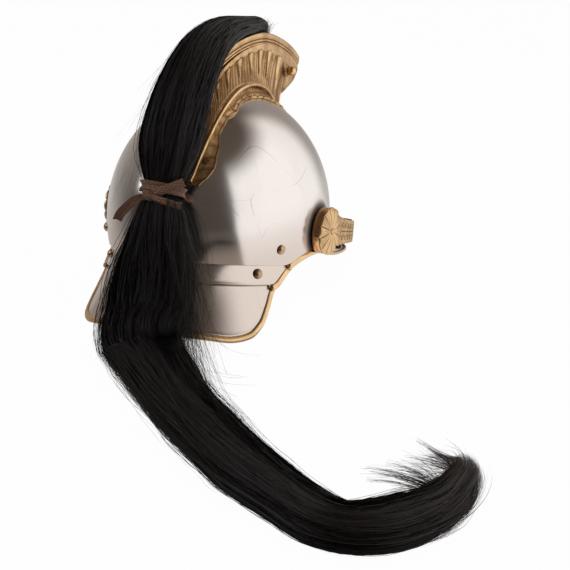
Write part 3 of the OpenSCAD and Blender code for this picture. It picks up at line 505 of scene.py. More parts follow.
def brassy(name, bright, aged, rough, clouds, depth=0.9):
    m, tree, surface = blank(name)
    mask = effect(tree, TARNISH, Scale=38.0, Clouds=clouds, Specks=0.3, Recess=stored(tree, "recess"), Depth=depth)
    fill(tree, surface, {"Base Color": mix(tree, mask, bright, aged), "Metallic": 1.0,
                         "Roughness": plus(tree, times(tree, mask, 0.28), rough),
                         "Normal": bump(tree, noise(tree, here(tree), 420.0, 3.0), 0.25, 0.0003)})
    return m


def horsehair():
    m, tree, surface = blank("black horsehair")
    shade = stored(tree, "shade")
    colour = mix(tree, shade, (0.0042, 0.0039, 0.0043), (0.0145, 0.0125, 0.0125))
    colour = mix(tree, stored(tree, "brown"), colour, (0.050, 0.033, 0.027))
    fill(tree, surface, {"Base Color": colour, "Roughness": ramp(tree, shade, 0.0, 1.0, 0.46, 0.64),
                         "Specular IOR Level": 0.36})
    return m


def cloth(name, light, dark, scale):
    m, tree, surface = blank(name)
    where = here(tree)
    up, over = (node(tree, "TexWave", {"Vector": where, "Scale": scale, "Distortion": 0.6},
                     wave_type="BANDS", bands_direction=way).outputs["Fac"] for way in ("Z", "DIAGONAL"))
    weave = times(tree, up, over)
    patch = ramp(tree, noise(tree, where, 60.0, 4.0), 0.3, 0.7, 0.3, 1.0)
    fill(tree, surface, {"Base Color": mix(tree, times(tree, weave, patch), dark, light),
                         "Roughness": ramp(tree, weave, 0, 1, 0.9, 0.75), "Sheen Weight": 0.25,
                         "Normal": bump(tree, weave, 0.6, 0.0003)})
    return m


def leather(name, light, dark):
    m, tree, surface = blank(name)
    cells = node(tree, "TexVoronoi", {"Vector": here(tree), "Scale": 700.0},
                 feature="DISTANCE_TO_EDGE").outputs[0]
    worn = effect(tree, TARNISH, Scale=24.0, Clouds=0.8, Specks=0.2)
    fill(tree, surface, {"Base Color": mix(tree, worn, light, dark), "Roughness": ramp(tree, worn, 0, 1, 0.5, 0.72),
                         "Normal": bump(tree, ramp(tree, cells, 0.0, 0.12), 0.4, 0.0003)})
    return m


# The second and third tints are painted shade on the steel: darker low and high up, and a painted shadow round the
# rosette drums.
SCRATCH_TINT, PAINTED_SHADE_TINT, DRUM_SHADOW_TINT = (0.24, 0.22, 0.205), (0.64, 0.55, 0.495), (0.085, 0.07, 0.062)
STEEL = steel("polished steel", (0.82, 0.79, 0.765), (0.60, 0.56, 0.53), 0.15), "polished_steel"
STEEL_DULL = steel("dull steel", (0.5, 0.49, 0.48), (0.3, 0.28, 0.26), 0.34), "polished_steel"
BRASS = brassy("antique brass", (0.84, 0.56, 0.285), (0.29, 0.155, 0.06), 0.28, 0.55, 1.1), "brass"
TRIM = brassy("binding brass", (0.84, 0.59, 0.32), (0.40, 0.235, 0.10), 0.25, 0.35), "brass"
COPPER = brassy("reddish brass", (0.86, 0.49, 0.25), (0.33, 0.16, 0.07), 0.14, 0.3), "copper_brass"
BRONZE = brassy("bronzed rivets", (0.70, 0.475, 0.28), (0.25, 0.145, 0.075), 0.2, 0.5), "copper_brass"
PALE = brassy("rosette brass", (0.80, 0.545, 0.285), (0.27, 0.15, 0.06), 0.33, 0.45, 1.25), "brass"
HAIR = horsehair(), "horsehair"
RIBBON = cloth("brown ribbon", (0.30, 0.155, 0.09), (0.135, 0.066, 0.038), 150.0), "ribbon"
HIDE = leather("brown leather", (0.17, 0.085, 0.042), (0.07, 0.034, 0.018)), "leather"
LINING = leather("lining leather", (0.30, 0.165, 0.085), (0.13, 0.066, 0.034)), "leather"
CORD = cloth("lining cord", (0.46, 0.36, 0.24), (0.22, 0.16, 0.10), 1400.0 / 6), "ribbon"


# Steel
def make_skull():
    a = np.linspace(0, 360, 288, endpoint=False)
    rim = at(REAR_EDGE, folded(a))
    share = np.concatenate([[0, 0.002, 0.006, 0.012], np.linspace(0.02, 1, 74)])[:, None]

    def shell(d):
        low = np.degrees(np.arcsin(rim / (DOME_H - d)))
        return dome(a[None], low[None] + (NEAR_TOP - low[None]) * share, d)
    outer, inner = shell(0.0), shell(STEEL_T)
    lip = outer[0] * 0.5 + inner[0] * 0.5 - UP * 0.25
    rings = np.concatenate([inner[::-1], lip[None], outer])
    piece("steel_skull", *tube(rings), STEEL, nodes=["skull"])


def neck_plate(name, low, top, d, nodes, body):
    end = low[-1][0]
    a = column(-end, end, 220)
    lo, hi = at(low, np.abs(a)), at(top, np.abs(a))
    z = lo + (hi - lo) * row(0, 1, 44)
    turn = 0.30 * bell(z, lo, 1.6)
    piece(name, *plate(wall(a, z, d - turn), wall(a, z, d + PLATE_T)), STEEL, body, nodes)


def longer(path):
    """Path with both ends carried on a little way."""
    return np.concatenate([[path[0] + unit(path[0] - path[1]) * EDGE_REACH], path,
                           [path[-1] + unit(path[-1] - path[-2]) * EDGE_REACH]])


def edge_binding(name, low, start, end, d, nodes, body, cols=200):
    a = np.linspace(start, end, cols)

    def spot(b):
        return wall(b, at(low, np.abs(b)), d + PLATE_T / 2)
    run = spot(a + 0.5) - spot(a - 0.5)
    down = unit(np.cross(facing(a, at(low, np.abs(a))), run))
    down = np.where(down[:, 2:] > 0, -down, down)
    path = longer(spot(a) + down * (BIND_H + BIND_GAP))
    down = np.concatenate([down[:1], down, down[-1:]])
    piece(name, *bead(path, down, EDGE_H, EDGE_T), TRIM, body, nodes)


def rim_binding():
    a = np.linspace(70, 290, 240)
    path = wall(a, at(REAR_EDGE, folded(a)) - BIND_H - BIND_GAP, STEEL_T / 2)
    piece("rim_binding", *bead(longer(path), np.tile(UP, (len(a) + 2, 1)), EDGE_H, EDGE_T), TRIM,
          nodes=["skull_binding"])


def squarish(t, w, l, n):
    t = np.radians(t)
    r = ((np.abs(np.sin(t)) / w) ** n + (np.abs(np.cos(t)) / l) ** n) ** (-1 / n)
    return np.stack([-r * np.sin(t), -r * np.cos(t)], -1)


def visor_edge(t):
    p = squarish(t, VISOR_W, VISOR_L, VISOR_N)
    return points(p[..., 0], p[..., 1], VISOR_Z + VISOR_RISE * np.maximum(0, (np.abs(t) - 55) / 28) ** 2)


def visor_in(t, lift):
    e = visor_edge(t)
    a = 180 - np.degrees(np.arctan2(np.abs(e[..., 0]) / HALF_W, -e[..., 1] / HALF_L))
    z = at(REAR_EDGE, a) + lift
    p = wall(a, z, -0.15)
    return points(np.sign(e[..., 0]) * np.abs(p[..., 0]), p[..., 1], z)


def make_visor():
    t = np.linspace(-VISOR_END, VISOR_END, 180)
    e = visor_edge(t)
    start = visor_in(t, 1.0)
    rows = [visor_in(t, lift) for lift in (6.0, 4.6, 3.0, 1.8)]
    for k in np.linspace(0, 1, 30):
        rows.append(start + (e - start) * k + UP * (2.4 * math.sin(math.pi * k)))
    under = np.stack(rows, 1)
    out = unit(points(e[:, 0], e[:, 1], 0))[:, None]
    k = np.arange(under.shape[1])
    flat = smooth(k, 3.5, 7.5)[None, :, None]
    over = under + out * PLATE_T * (1 - flat) + UP * PLATE_T * flat
    over = over + UP * (PLATE_T * 0.6 * bell(k, 4.5, 1.6))[None, :, None] * (1 - flat)
    piece("steel_visor", *plate(under, over), STEEL, nodes=["visor"])
    run = np.gradient(e, axis=0)
    d = unit(points(-run[:, 1], run[:, 0], 0))
    path = e + d * (BIND_T + BIND_GAP) + UP * (PLATE_T / 2)
    piece("visor_edge", *bead(path, np.tile(UP, (len(t), 1)), BIND_T, BIND_T), TRIM,
          nodes=["visor_binding"])


# Crest
def line_at(table, s):
    """Place on a line in the middle plane: rows of station, forward, up."""
    return points(0, -at(table[:, [0, 1]], s), at(table[:, [0, 2]], s))


def ridge(s):
    return line_at(CREST_TOP, s)


def foot(s):
    return line_at(CREST_LOW, s)


def inward(s):
    t = unit(ridge(np.minimum(1, s + 0.01)) - ridge(np.maximum(0, s - 0.01)))
    return points(0, t[..., 2], -t[..., 1])


def arch(x):
    """Height of a half circle, nought outside it."""
    return np.sqrt(np.clip(1 - x ** 2, 0, 1))


def roll_fit(s):
    return np.minimum(1, (1.05 - s) * 5)


def crest_side(s, t):
    """Side of the crest with its flutes, and a mask of what lies deep in it, darker also towards the rear from dirt and
    painted shade by the mane: station, share of the way down.
    """
    r, f = ridge(s), foot(s)
    span = np.maximum(1, np.abs(np.sum((f - r) * inward(s), -1)))
    start = np.minimum(0.9, (ROLL_H * roll_fit(s) - 1.3) / span)
    q = start + (1 + 1.6 / span - start) * t
    p = r + (f - r) * q[..., None]
    w = CREST_TOP_W - 0.5 + (at(CREST_WIDTH, s) - CREST_TOP_W + 0.5) * q ** 1.4
    x = np.maximum(0, (s - FLUTES_FROM) / FLUTES_SPAN)
    phase = FLUTES * (0.64 * x + 0.36 * x * x)
    c = np.abs(phase - np.floor(phase) - 0.5)
    along = np.clip((t - 0.13) / 0.6, -0.2, 1.2)
    down = np.clip(along, 0, 1)
    tip = np.where(along < 0.1, arch(1 - down / 0.1), 1)
    half = (0.02 + 0.2 * (1 - down) ** 0.9) * tip
    live = smooth(along, -0.02, 0.02) * (1 - smooth(along, 0.96, 1.04))
    rise = arch(c / np.maximum(half, 0.01)) * live
    pocket = np.exp(-((c - half - 0.05) / 0.045) ** 2) * live * (1 - 0.55 * down)
    lines = wave(phase * 8 * np.pi)
    beads = wave(t * span * 2.6)
    ground = smooth(t, 0.14, 0.2) * (1 - smooth(t, 0.93, 0.97)) * (1 - smooth(rise, 0, 0.3))
    lip = bell(t, 0.975, 0.018) + 0.7 * bell(t, 0.105, 0.015)
    on = smooth(s, 0.2, 0.215) * (1 - smooth(s, 0.975, 0.99))
    relief = (1.9 * rise * (1 - 0.35 * down) - 1.1 * pocket + ground * (0.5 * lines ** 2 + 0.3 * beads * lines)
              + 0.4 * lip) * on
    plain = 1 - smooth(s, 0.19, 0.21)
    curl = np.abs(np.sin(9 * np.pi * s + 3.4 * t + 0.8 * np.sin(6 * t)))
    scroll = plain * 0.75 * curl ** 0.6 * smooth(t, 0.12, 0.3) * (1 - smooth(t, 0.8, 0.95))
    recess = np.clip(1.1 * pocket + ground * (0.45 * (1 - lines) + 0.25 * (1 - beads)) + 0.12 * ground, 0, 1) * on
    sunk = plain * smooth(t, 0.12, 0.3) * (1 - curl) ** 1.5 * 0.9
    # The last term makes the crest darker towards the rear by the mane: partly dirt and partly painted shade from the
    # mane.
    recess = np.clip(recess + sunk + 0.5 * smooth(s, 0.36, 0.9), 0, 1)
    return points(-(w + relief + scroll), p[..., 1], p[..., 2]), recess


def make_crest_walls():
    s, t = np.broadcast_arrays(column(0.01, 0.995, 620), row(0, 1, 60))
    outer, low = crest_side(s, t)
    inner = points(-np.maximum(-outer[..., 0] - CREST_T, 1.0), outer[..., 1], outer[..., 2])
    pair("crest_wall_{}", "crest_{}", *plate(outer[:, ::-1], inner[:, ::-1]), BRASS, recess=twice(low[:, ::-1]))


def make_crest_rolls():
    """Rolled top edge: three beads on each side and the channel for the hair."""
    w = CREST_TOP_W
    side = [[w - 1.0 + rad * math.cos(math.radians(k)), centre + tall * math.sin(math.radians(k))]
            for centre, tall, rad in ((-3.15, 3.0, 1.35), (-7.75, 1.25, 1.35), (-10.85, 1.3, 1.5))
            for k in np.linspace(84, -84, 11)]
    right = [[4.6, -8], [4.6, -0.35], [5.2, 0.0], [w - 1.8, 0.1], *side, [w - 1.4, -ROLL_H]]
    section = np.array([*right, *[[-x, y] for x, y in right[::-1]]])
    x, y = np.abs(section[:, 0]), section[:, 1]
    deep = 0.95 * ((x < w - 0.4) & (y < -5) & (x > 5))
    u = np.linspace(0, 1, 260)
    narrow = np.where(u < 0.06, 0.55 + 7.5 * u, 1)
    rings = (ridge(u)[:, None] + np.array([1.0, 0, 0]) * (section[None, :, 0:1] * narrow[:, None, None])
             - inward(u)[:, None] * (section[None, :, 1:2] * roll_fit(u)[:, None, None]))
    piece("crest_rolls", *tube(rings), BRASS, nodes=["crest_top_roll"],
          recess=np.concatenate([np.tile(deep, len(u)), [0, 0]]))


def make_crest_front():
    s = np.linspace(0, 1, 150)
    p = line_at(FRONT_LINE, s)
    tan = heading(p)
    n = points(0, tan[:, 2], -tan[:, 1])[:, None]
    x = row(-1, 1, 81)
    half = at(FRONT_WIDTH, s)[:, None]
    leaf, recess = palmette(s[:, None], x, half)
    base = -2.2 * x ** 2
    flat = p[:, None] + points(x * half, 0, 0)
    piece("crest_front", *plate(flat + n * (4.6 + base + leaf)[..., None], flat + n * (3.4 + base)[..., None]), BRASS,
          nodes=["crest_front_plate"], recess=twice(recess))


def make_leaf_bands():
    """Foot of the crest: a roll, a cove with slanting ribs, and a band of leaves on the skull."""
    m, t = column(FOOT_IN[0][0], FOOT_IN[-1][0], 560), row(0, 1, 60)

    def roll_x(m):
        return CREST_FOOT_W - at(FOOT_IN, m)

    def roll_z(m):
        return CREST_FOOT_Z * at(FOOT_LIFT, m)
    near = roll_x(m) - 1.2
    beat = np.abs(np.sin(np.radians(m) * 15.5))
    edge = at(FOOT_EDGE, m) + 1.3 * beat ** 0.7 - 0.6
    x = near + (edge - near) * t
    lift = 0.25 + (roll_z(m) - 3) * (1 - t) ** 1.7
    leaves_from = 0.60 - 0.42 * (1 - smooth(m, -46, -28))
    in_band = smooth(t, leaves_from, leaves_from + 0.1)
    vein = np.abs(np.sin(np.radians(m) * 31 + 1.6 * (1 - t)))
    hatch = wave(m * 7.0 + 12 * t)
    leaf = 0.95 * vein ** 0.6 + 0.35 * hatch * (vein > 0.25)
    cove = smooth(t, 0.06, 0.14) * (1 - in_band)
    ribs = np.cos(m * 2.6 + 9 * t)
    relief = (in_band * leaf + cove * 0.28 * ribs + 0.35 * bell(t - leaves_from, -0.02, 0.03)
              + 0.3 * bell(t, 0.97, 0.05))
    # The last term darkens the band towards the rear by the mane: partly dirt and partly painted shade from the mane.
    sunk = np.clip(in_band * (0.95 * bell(vein, 0, 0.3) + 0.4 * (1 - hatch)) + 0.7 * bell(t - leaves_from, -0.09, 0.03)
                   + cove * (0.42 + 0.3 * (ribs < -0.3)) + 0.45 * (1 - smooth(m, -62, -8)), 0, 1)
    band = plate(crown(-x, m, lift), crown(-x, m, lift + 1.1 + relief))
    a = np.linspace(-72, 45, 260)
    roll = bead(crown(-(roll_x(a) + 2.1), a, roll_z(a) - 1), np.tile([0, 0.2, 1.0], (len(a), 1)), 1.9, 1.9)
    mask = np.concatenate([np.zeros(sunk.size), sunk.ravel(), np.zeros(len(roll[0]))])
    pair("crest_leaf_band_{}", "crest_foot_{}", *joined([band, roll]), BRASS, recess=mask)


def make_crest_knobs():
    ball = [[KNOB_R * math.sin(k), 4.7 - KNOB_R * math.cos(k)] for k in np.linspace(0.85, math.pi - 0.004, 16)]
    shape, faces = turned([[0.02, 0], [6.1, 0], [6.3, 0.4], [5.9, 0.8], [4.6, 0.9], [3.6, 1.0], *ball], 48)
    deep = (np.hypot(shape[:, 0], shape[:, 1]) < KNOB_R) * (shape[:, 2] > 0.8) * (shape[:, 2] < 1.25) * 0.9
    ball = points(-(KNOB_X + shape[:, 2]), shape[:, 0] + KNOB_Y, KNOB_Z + shape[:, 1])
    pair("crest_knob_{}", "crest_ball_{}", ball, flipped(faces), BRASS, recess=deep)


def palmette(s, x, half):
    """Leaf ornament on the crest's front: height and recess."""
    mx, my = x * half, (s - 0.78) * 120
    r = np.hypot(mx, my + 6)
    ang = np.arctan2(mx, -(my - 6))
    rays = np.abs(np.cos(ang * 5.5))
    fan = smooth(17 - r, 0, 3) * smooth(r, 3, 6) * (s > 0.5)
    nub = bell(r, 0, 3.2) * 1.4
    rim = bell(np.abs(x), 0.93, 0.05) * 0.8
    lines = wave(mx * 2.4)
    upper = 1 - smooth(s, 0.46, 0.52)
    height = fan * (0.2 + 1.3 * rays) + nub + rim + upper * 0.5 * lines * (np.abs(x) < 0.85)
    recess = np.clip(fan * (1 - rays) + upper * 0.6 * (1 - lines) + 0.25 * (s > 0.5) * (1 - fan), 0, 1)
    return height, recess * (np.abs(x) < 0.9)


def make_forehead_plate():
    a = column(118, 242, 220)
    f = np.abs(a - 180) / 62
    low = at(REAR_EDGE, folded(a)) + 7.5
    high = low + 9 + 21 * np.maximum(0, 1 - f) ** 1.6
    t = row(0, 1, 50)
    z = low + (high - low) * t
    up = np.degrees(np.arcsin(z / DOME_H))
    swirl = np.abs(np.sin(np.radians(a) * 24 + 3 * t))
    frame_ = np.maximum(bell(t, 0.06, 0.04), bell(t, 0.94, 0.04))
    body = smooth(t, 0.12, 0.2) * (1 - smooth(t, 0.8, 0.88))
    height = 0.45 * frame_ + body * 0.6 * swirl ** 0.7
    recess = np.clip(body * (1 - swirl) ** 2, 0, 1)
    piece("forehead_plate", *plate(dome(a, up, -1.1 - height), dome(a, up, -0.15)), BRASS, nodes=["front_plate"],
          recess=twice(recess))


# Rosettes and chin scales
def make_rosettes():
    """Petalled faces, the drums that they turn with, and the flat rings on the skull below."""
    th = turns(384)
    x, y = np.cos(th), np.sin(th)
    rr = column(0, 1, 72)
    petal = np.abs(np.cos(th * (PETALS / 2)))
    edge = RIM_R + RIM_WAVE * petal ** 0.45
    r = rr * edge
    line = bell(petal, 0, 0.085 + 0.06 * (1 - rr)) * smooth(rr, 0.10, 0.2) * (1 - smooth(rr, 0.955, 0.99))
    hatch = bell(np.abs(np.cos(th * 18 + 0.5)), 0, 0.16) * smooth(rr, 0.3, 0.42) * (1 - smooth(rr, 0.84, 0.93))
    swell = petal ** 0.7 * smooth(rr, 0.15, 0.6) * 0.95
    height = (1.35 + 2.5 * (1 - rr ** 1.8) + swell - 0.75 * line - 0.2 * hatch
              + 0.9 * np.exp(-(r / 1.9) ** 4) - 0.45 * bell(r, 2.7, 0.6)
              + 0.4 * bell(rr, 0.945, 0.02) * petal ** 0.5 - 1.0 * smooth(rr, 0.965, 1.0) ** 2)
    height = np.minimum(height, FACE_HIGH)
    recess = np.clip(0.95 * line + 0.5 * hatch + 0.6 * bell(r, 2.7, 0.6) + 0.35 * bell(rr, 0.91, 0.02), 0, 1)
    neck = points((DRUM_R - 0.6) * x, (DRUM_R - 0.6) * y, 0)
    seat = neck + UP * TILT * (neck[:, :1] - DRUM_R)
    rings = np.concatenate([[seat, neck, points(edge * x, edge * y, 0)], points(r * x, r * y, height)[::-1]])
    v, faces = tube(rings)
    recess = np.concatenate([np.zeros(len(th) * 3), recess[::-1].ravel(), [0, 0]])
    face = points(-(ROSETTE_X + 1.0 + v[:, 2] - TILT * v[:, 0]), v[:, 0] + TILT * v[:, 2], EAR_Z + v[:, 1])
    face = face, flipped(faces), PALE

    rim = DRUM_R - 1.3
    drum = [[0.02, 0.35], [rim, 0.35], [rim, -1.8], [DRUM_R - 0.9, -2.1], [DRUM_R - 0.3, -2.1],
            [DRUM_R, -1.7], [DRUM_R, 5.2], [DRUM_R - 0.25, 5.7], [DRUM_R - 0.9, 5.95], [0.02, 5.95]]
    ring = [[0.02, 0], [16.4, 0], [16.8, 0.3], [16.8, 1.2], [16.4, 1.62], [0.02, 1.62]]
    for side in ("right", "left"):
        sided(side, "rosette_{}_face", "rosette_{}", *face, recess=recess)
        for name, cad, profile, start, body, finish in (
                ("ear_boss_{}", "ear_ring_{}", ring, EAR_X, "helmet", BRONZE),
                ("rosette_drum_{}", "loop_drum_{}", drum, DRUM_X, "chin_loop", COPPER)):
            v, faces = turned(profile, 128)
            reach = (1.0 - TILT * DRUM_R) * (v[:, 2] > 2)
            # Painted shade: the back faces of the drum and the ring, turned to the skull, are coloured dark.
            painted_back_shade = (v[:, 2] < 0.4) * (np.hypot(v[:, 0], v[:, 1]) < DRUM_R - 0.2) * 1.6
            sided(side, name, cad, points(-(start + v[:, 2] + reach), v[:, 0], EAR_Z + v[:, 1]), flipped(faces),
                  finish, body, soft_edges=40, recess=painted_back_shade)


LOOP_STEPS = 240
BUCKLE_Z = -19.1727
LOOP_SLOPE = (EAR_Z - BUCKLE_Z) / LOOP_L
LOOP_T = np.linspace(90, 8, LOOP_STEPS + 1)
LOOP_P = squarish(LOOP_T, LOOP_W, LOOP_L, LOOP_N)
LOOP_S = np.concatenate([[0], np.cumsum(np.linalg.norm(np.diff(LOOP_P, axis=0), axis=1))])
LOOP_END = LOOP_S[-1]


def loop_point(s, out, up):
    """Chin loop on the wearer's right: distance from the rosette, distance outward, height."""
    s, out, up = np.broadcast_arrays(*floats(s, out, up))
    t = np.interp(np.clip(s, 0, LOOP_END), LOOP_S, LOOP_T)
    p = squarish(t, LOOP_W, LOOP_L, LOOP_N)
    d = unit(squarish(np.minimum(90, t + 1), LOOP_W, LOOP_L, LOOP_N) - squarish(t - 1, LOOP_W, LOOP_L, LOOP_N))
    o = np.stack([-d[..., 1], d[..., 0]], -1)
    return points(p[..., 0] + o[..., 0] * out, p[..., 1] + o[..., 1] * out, EAR_Z + LOOP_SLOPE * p[..., 1] + up)


def past_drum(s, high, gap):
    return np.maximum(s, np.sqrt(np.maximum(0, (DRUM_R + gap) ** 2 - high ** 2)))


def make_chin_scales():
    """Overlapping scales down each side of the chin loop, and the leather behind them."""
    pitch = (LOOP_END - LAST_SCALE - FIRST_SCALE) / SCALES
    inner = DRUM_X - LOOP_W
    base = inner + 2 + 0.12
    u, v = column(0, 1, 44), row(-1, 1, 71)
    lobes = np.abs(np.cos(v * np.pi * 1.5)) ** 0.6
    border = bell(u, 0.93, 0.035)
    shell = 0.5 * lobes * smooth(u, 0.35, 0.6) * (1 - smooth(u, 0.85, 0.92))

    def studs(place, off, size, tall):
        return sum(np.clip(1 - ((u - place) * pitch * OVERLAP / size) ** 2 - ((v - k) * tall / size) ** 2, 0, 1) ** 0.5
                   for k in (-off, off))

    verts, faces, masks = [], [], []
    for i in range(SCALES):
        tall = (20.5 + 12.5 * math.exp(-i / 3.2)) / 2
        reach = pitch * OVERLAP * u + (1.8 * lobes - 1.0 - 3.4 * v ** 2) * u
        high = tall * v * (1 - 0.05 * (1 - u))
        s = past_drum(FIRST_SCALE + pitch * i + reach, high, 0.35)
        lift = 0.35 + 1.15 * u + 0.25 * (1 - v ** 2)
        middle = bell(v * tall, 0, 0.55)
        raised = (0.95 * studs(0.62, 0.5, 1.9, tall) + 0.6 * studs(0.66, 0.87, 1.2, tall) + 0.35 * border
                  + 0.3 * shell - 0.3 * middle)
        around = bell(np.hypot((u - 0.62) * pitch * OVERLAP, (np.abs(v) - 0.5) * tall), 2.1, 0.45)
        hollow = np.clip(0.9 * middle + 1.0 * around + 0.75 * (1 - smooth(u, 0.24, 0.34))
                         + 0.5 * bell(u, 0.87, 0.02) + 0.3 * (1 - lobes) * smooth(u, 0.5, 0.8), 0, 1)
        scale = plate(loop_point(s, base + lift + 0.5 + raised * 0.7, high), loop_point(s, base + lift - 0.1, high))
        verts.append(scale[0])
        faces.append(scale[1] + i * len(scale[0]))
        masks.append(twice(hollow))
    pair("chin_scales_{}_side", "chin_scales_{}", np.concatenate(verts), np.concatenate(faces), PALE, "chin_loop",
         recess=np.concatenate(masks))
    s, k = column(17, LOOP_END, 160), row(-1, 1, 13)
    tall = np.where(s < LOOP_END - 40, SCALE_H / 2 - 1.5, 9.5)
    s = past_drum(s, tall * k, 0.2)
    pair("chin_strap_{}", "chin_leather_{}", *plate(loop_point(s, inner + 2, tall * k), loop_point(s, inner, tall * k)),
         HIDE, "chin_loop", soft_edges=40)


# Mane
def hair_line():
    up = [[*stood([-q[4], -q[0], q[1]]), q[2], q[3]] for q in HAIR_UP]
    low = [[-q[0], q[1], q[2], q[3], q[4]] for q in HAIR_LOW]
    knots = np.array(up + low)
    u = np.linspace(0, len(knots) - 1.001, 820)
    *middle, half_wide, half_thick = through(knots, u)
    p = np.stack(middle, -1)
    f = heading(p)
    turn = np.clip((u - 12) / 2.5, 0, 1)[:, None]
    level = unit(np.cross(UP, f + np.array([0, 0.001, 0])))
    flat = np.array([-1.0, 0, 0]) * (1 - turn) + level * turn
    wide = unit(flat - f * np.sum(flat * f, -1, keepdims=True))
    return u, p, f, wide, np.cross(f, wide), half_wide, half_thick


HU, HP, HF, HWIDE, HHIGH, HHALF_W, HHALF_T = hair_line()


def along(u, values):
    if values.ndim == 1:
        return np.interp(u, HU, values)
    return np.stack([np.interp(u, HU, values[:, k]) for k in range(3)], -1)


def bundle(u, x, y):
    """Place in the mane: distance along, and across it from -1 to 1."""
    return (along(u, HP) + along(u, HWIDE) * (along(u, HHALF_W) * x)[..., None]
            + along(u, HHIGH) * (along(u, HHALF_T) * y)[..., None])


def make_core():
    """Dark solid under the hairs."""
    u, a = column(0.12, 24.8, 420), turns(72)
    groove = 0.82 + 0.05 * np.sin(23 * a + 0.5 * np.sin(u)) + 0.03 * np.sin(41 * a + 1.3 * u)
    groove = groove * (1 - 0.72 * smooth(u, TAIL_FROM, 24.8))
    rings = bundle(np.repeat(u, 72, 1), groove * np.cos(a), groove * np.sin(a))
    rings[..., 2] = np.maximum(rings[..., 2], CORE_LOWEST)
    verts, faces = tube(rings)
    shade = np.zeros(len(verts))
    piece("mane_core", verts, faces, HAIR, nodes=["mane_crest", "mane_fall", "mane_tail"], table=True,
          shade=shade, brown=shade)


def flat_hairs(name, path, across, thick, shade, brown):
    """Hairs as flat bands: middle lines, side directions and widths by hair and step."""
    count, steps = path.shape[:2]
    half = across * thick[..., None] / 2
    verts = np.stack([path + half, path - half], 2).reshape(-1, 3)
    verts[:, 2] = np.maximum(verts[:, 2], HAIR_LOWEST)
    i = (np.arange(count) * steps * 2)[:, None] + np.arange(steps - 1) * 2
    faces = np.stack([i, i + 2, i + 3, i + 1], -1).reshape(-1, 4)
    piece(name, verts, faces, HAIR, table=True, tidy=False, shade=np.repeat(shade, steps * 2),
          brown=np.broadcast_to(brown, (count, steps)).repeat(2, axis=1))


def hair_strips(name, count, spread, width, start_range, end_range, lock_size, stray=0.0, fan=0.35):
    """Flat hairs that follow the mane in locks."""
    locks = max(6, count // 22)
    lock_a = chance.uniform(0, 2 * np.pi, locks)
    lock_r = np.sqrt(chance.uniform(spread[0] ** 2, spread[1] ** 2, locks))
    lock_w = chance.uniform(0, 6.28, (locks, 4))
    which = chance.integers(0, locks, count)
    off_a, off_r = chance.uniform(0, 2 * np.pi, count), lock_size * np.sqrt(chance.uniform(0, 1, count))
    u0 = chance.uniform(*start_range, count)
    u1 = end_range[0] + (end_range[1] - end_range[0]) * chance.uniform(0, 1, count) ** 0.6
    t = row(0, 1, STRIP_STEPS)
    u = u0[:, None] + (u1 - u0)[:, None] * t
    w = lock_w[which]
    wander = 0.10 * np.sin(0.55 * u + w[:, 0:1]) + 0.05 * np.sin(1.7 * u + w[:, 1:2])
    sway = 0.08 * np.sin(0.7 * u + w[:, 2:3]) + 0.04 * np.sin(2.1 * u + w[:, 3:4])
    tight = 0.75 + 0.35 * np.sin(0.8 * u + w[:, 0:1] * 3)
    a = lock_a[which][:, None] + wander * 1.2
    r = lock_r[which][:, None] * (1 + sway * 0.5)
    own = chance.uniform(0, 6.28, (count, 2))
    frizz = chance.uniform(0.3, 1.6, count)[:, None] * 0.016
    first, second = own[:, :1], own[:, 1:]
    x = (r * np.cos(a) + (off_r * np.cos(off_a))[:, None] * tight
         + frizz * (np.sin(3.1 * u + first) + 0.6 * np.sin(7.3 * u + 2 * second)))
    y = (r * np.sin(a) + (off_r * np.sin(off_a))[:, None] * tight
         + frizz * (np.sin(2.7 * u + second) + 0.6 * np.sin(6.1 * u + 3 * first)))
    open_out = fan * chance.uniform(-0.6, 1, count)[:, None] * smooth(u, 19.5, 27)
    tied = bell(u, TIE, 0.35)
    if stray:
        push = stray * chance.uniform(0.2, 1, count)[:, None] * np.sin(np.pi * np.clip(t * 1.25, 0, 1)) ** 1.5
        away = 1 + push * (1 - tied)
    else:
        away = np.minimum(1, (1.03 - 0.05 * tied) / np.hypot(x, y))
    p = bundle(u, x * away * (1 + open_out), y * away * (1 + open_out))
    s_near = np.linspace(0.3, 0.97, 200)
    roots = stood(ridge(s_near) + inward(s_near))
    nearest = np.argmin(np.linalg.norm(along(u0, HP)[:, None] - roots, axis=-1), axis=1)
    root = roots[nearest] + points(chance.uniform(-3.6, 3.6, count), 0, 0)
    rise = smooth(u - u0[:, None], 0, 1.3)[..., None]
    rooted = (u0 < ROOTED_TO)[:, None, None]
    p = np.where(rooted, root[:, None] * (1 - rise) + p * rise, p)
    p[..., 2] = np.maximum(p[..., 2], STRIP_LOWEST)
    f = unit(np.gradient(p, axis=1))
    out = unit(p - along(u, HP))
    lean_a = chance.uniform(-0.9, 0.9, count)[:, None, None]
    across = unit(np.cross(f, out))
    face = unit(across * np.cos(lean_a) + np.cross(f, across) * np.sin(lean_a))
    thick = (width * chance.uniform(0.6, 1.25, count)[:, None] * np.clip((1 - t) * 9, 0.12, 1)
             * np.clip(t * 40 + 0.4, 0, 1))
    shade = chance.uniform(0, 1, count) ** 1.6
    flat_hairs(name, p, face, thick, shade, smooth(u, TAIL_FROM, 27) * 0.75 * chance.uniform(0.2, 1, count)[:, None])


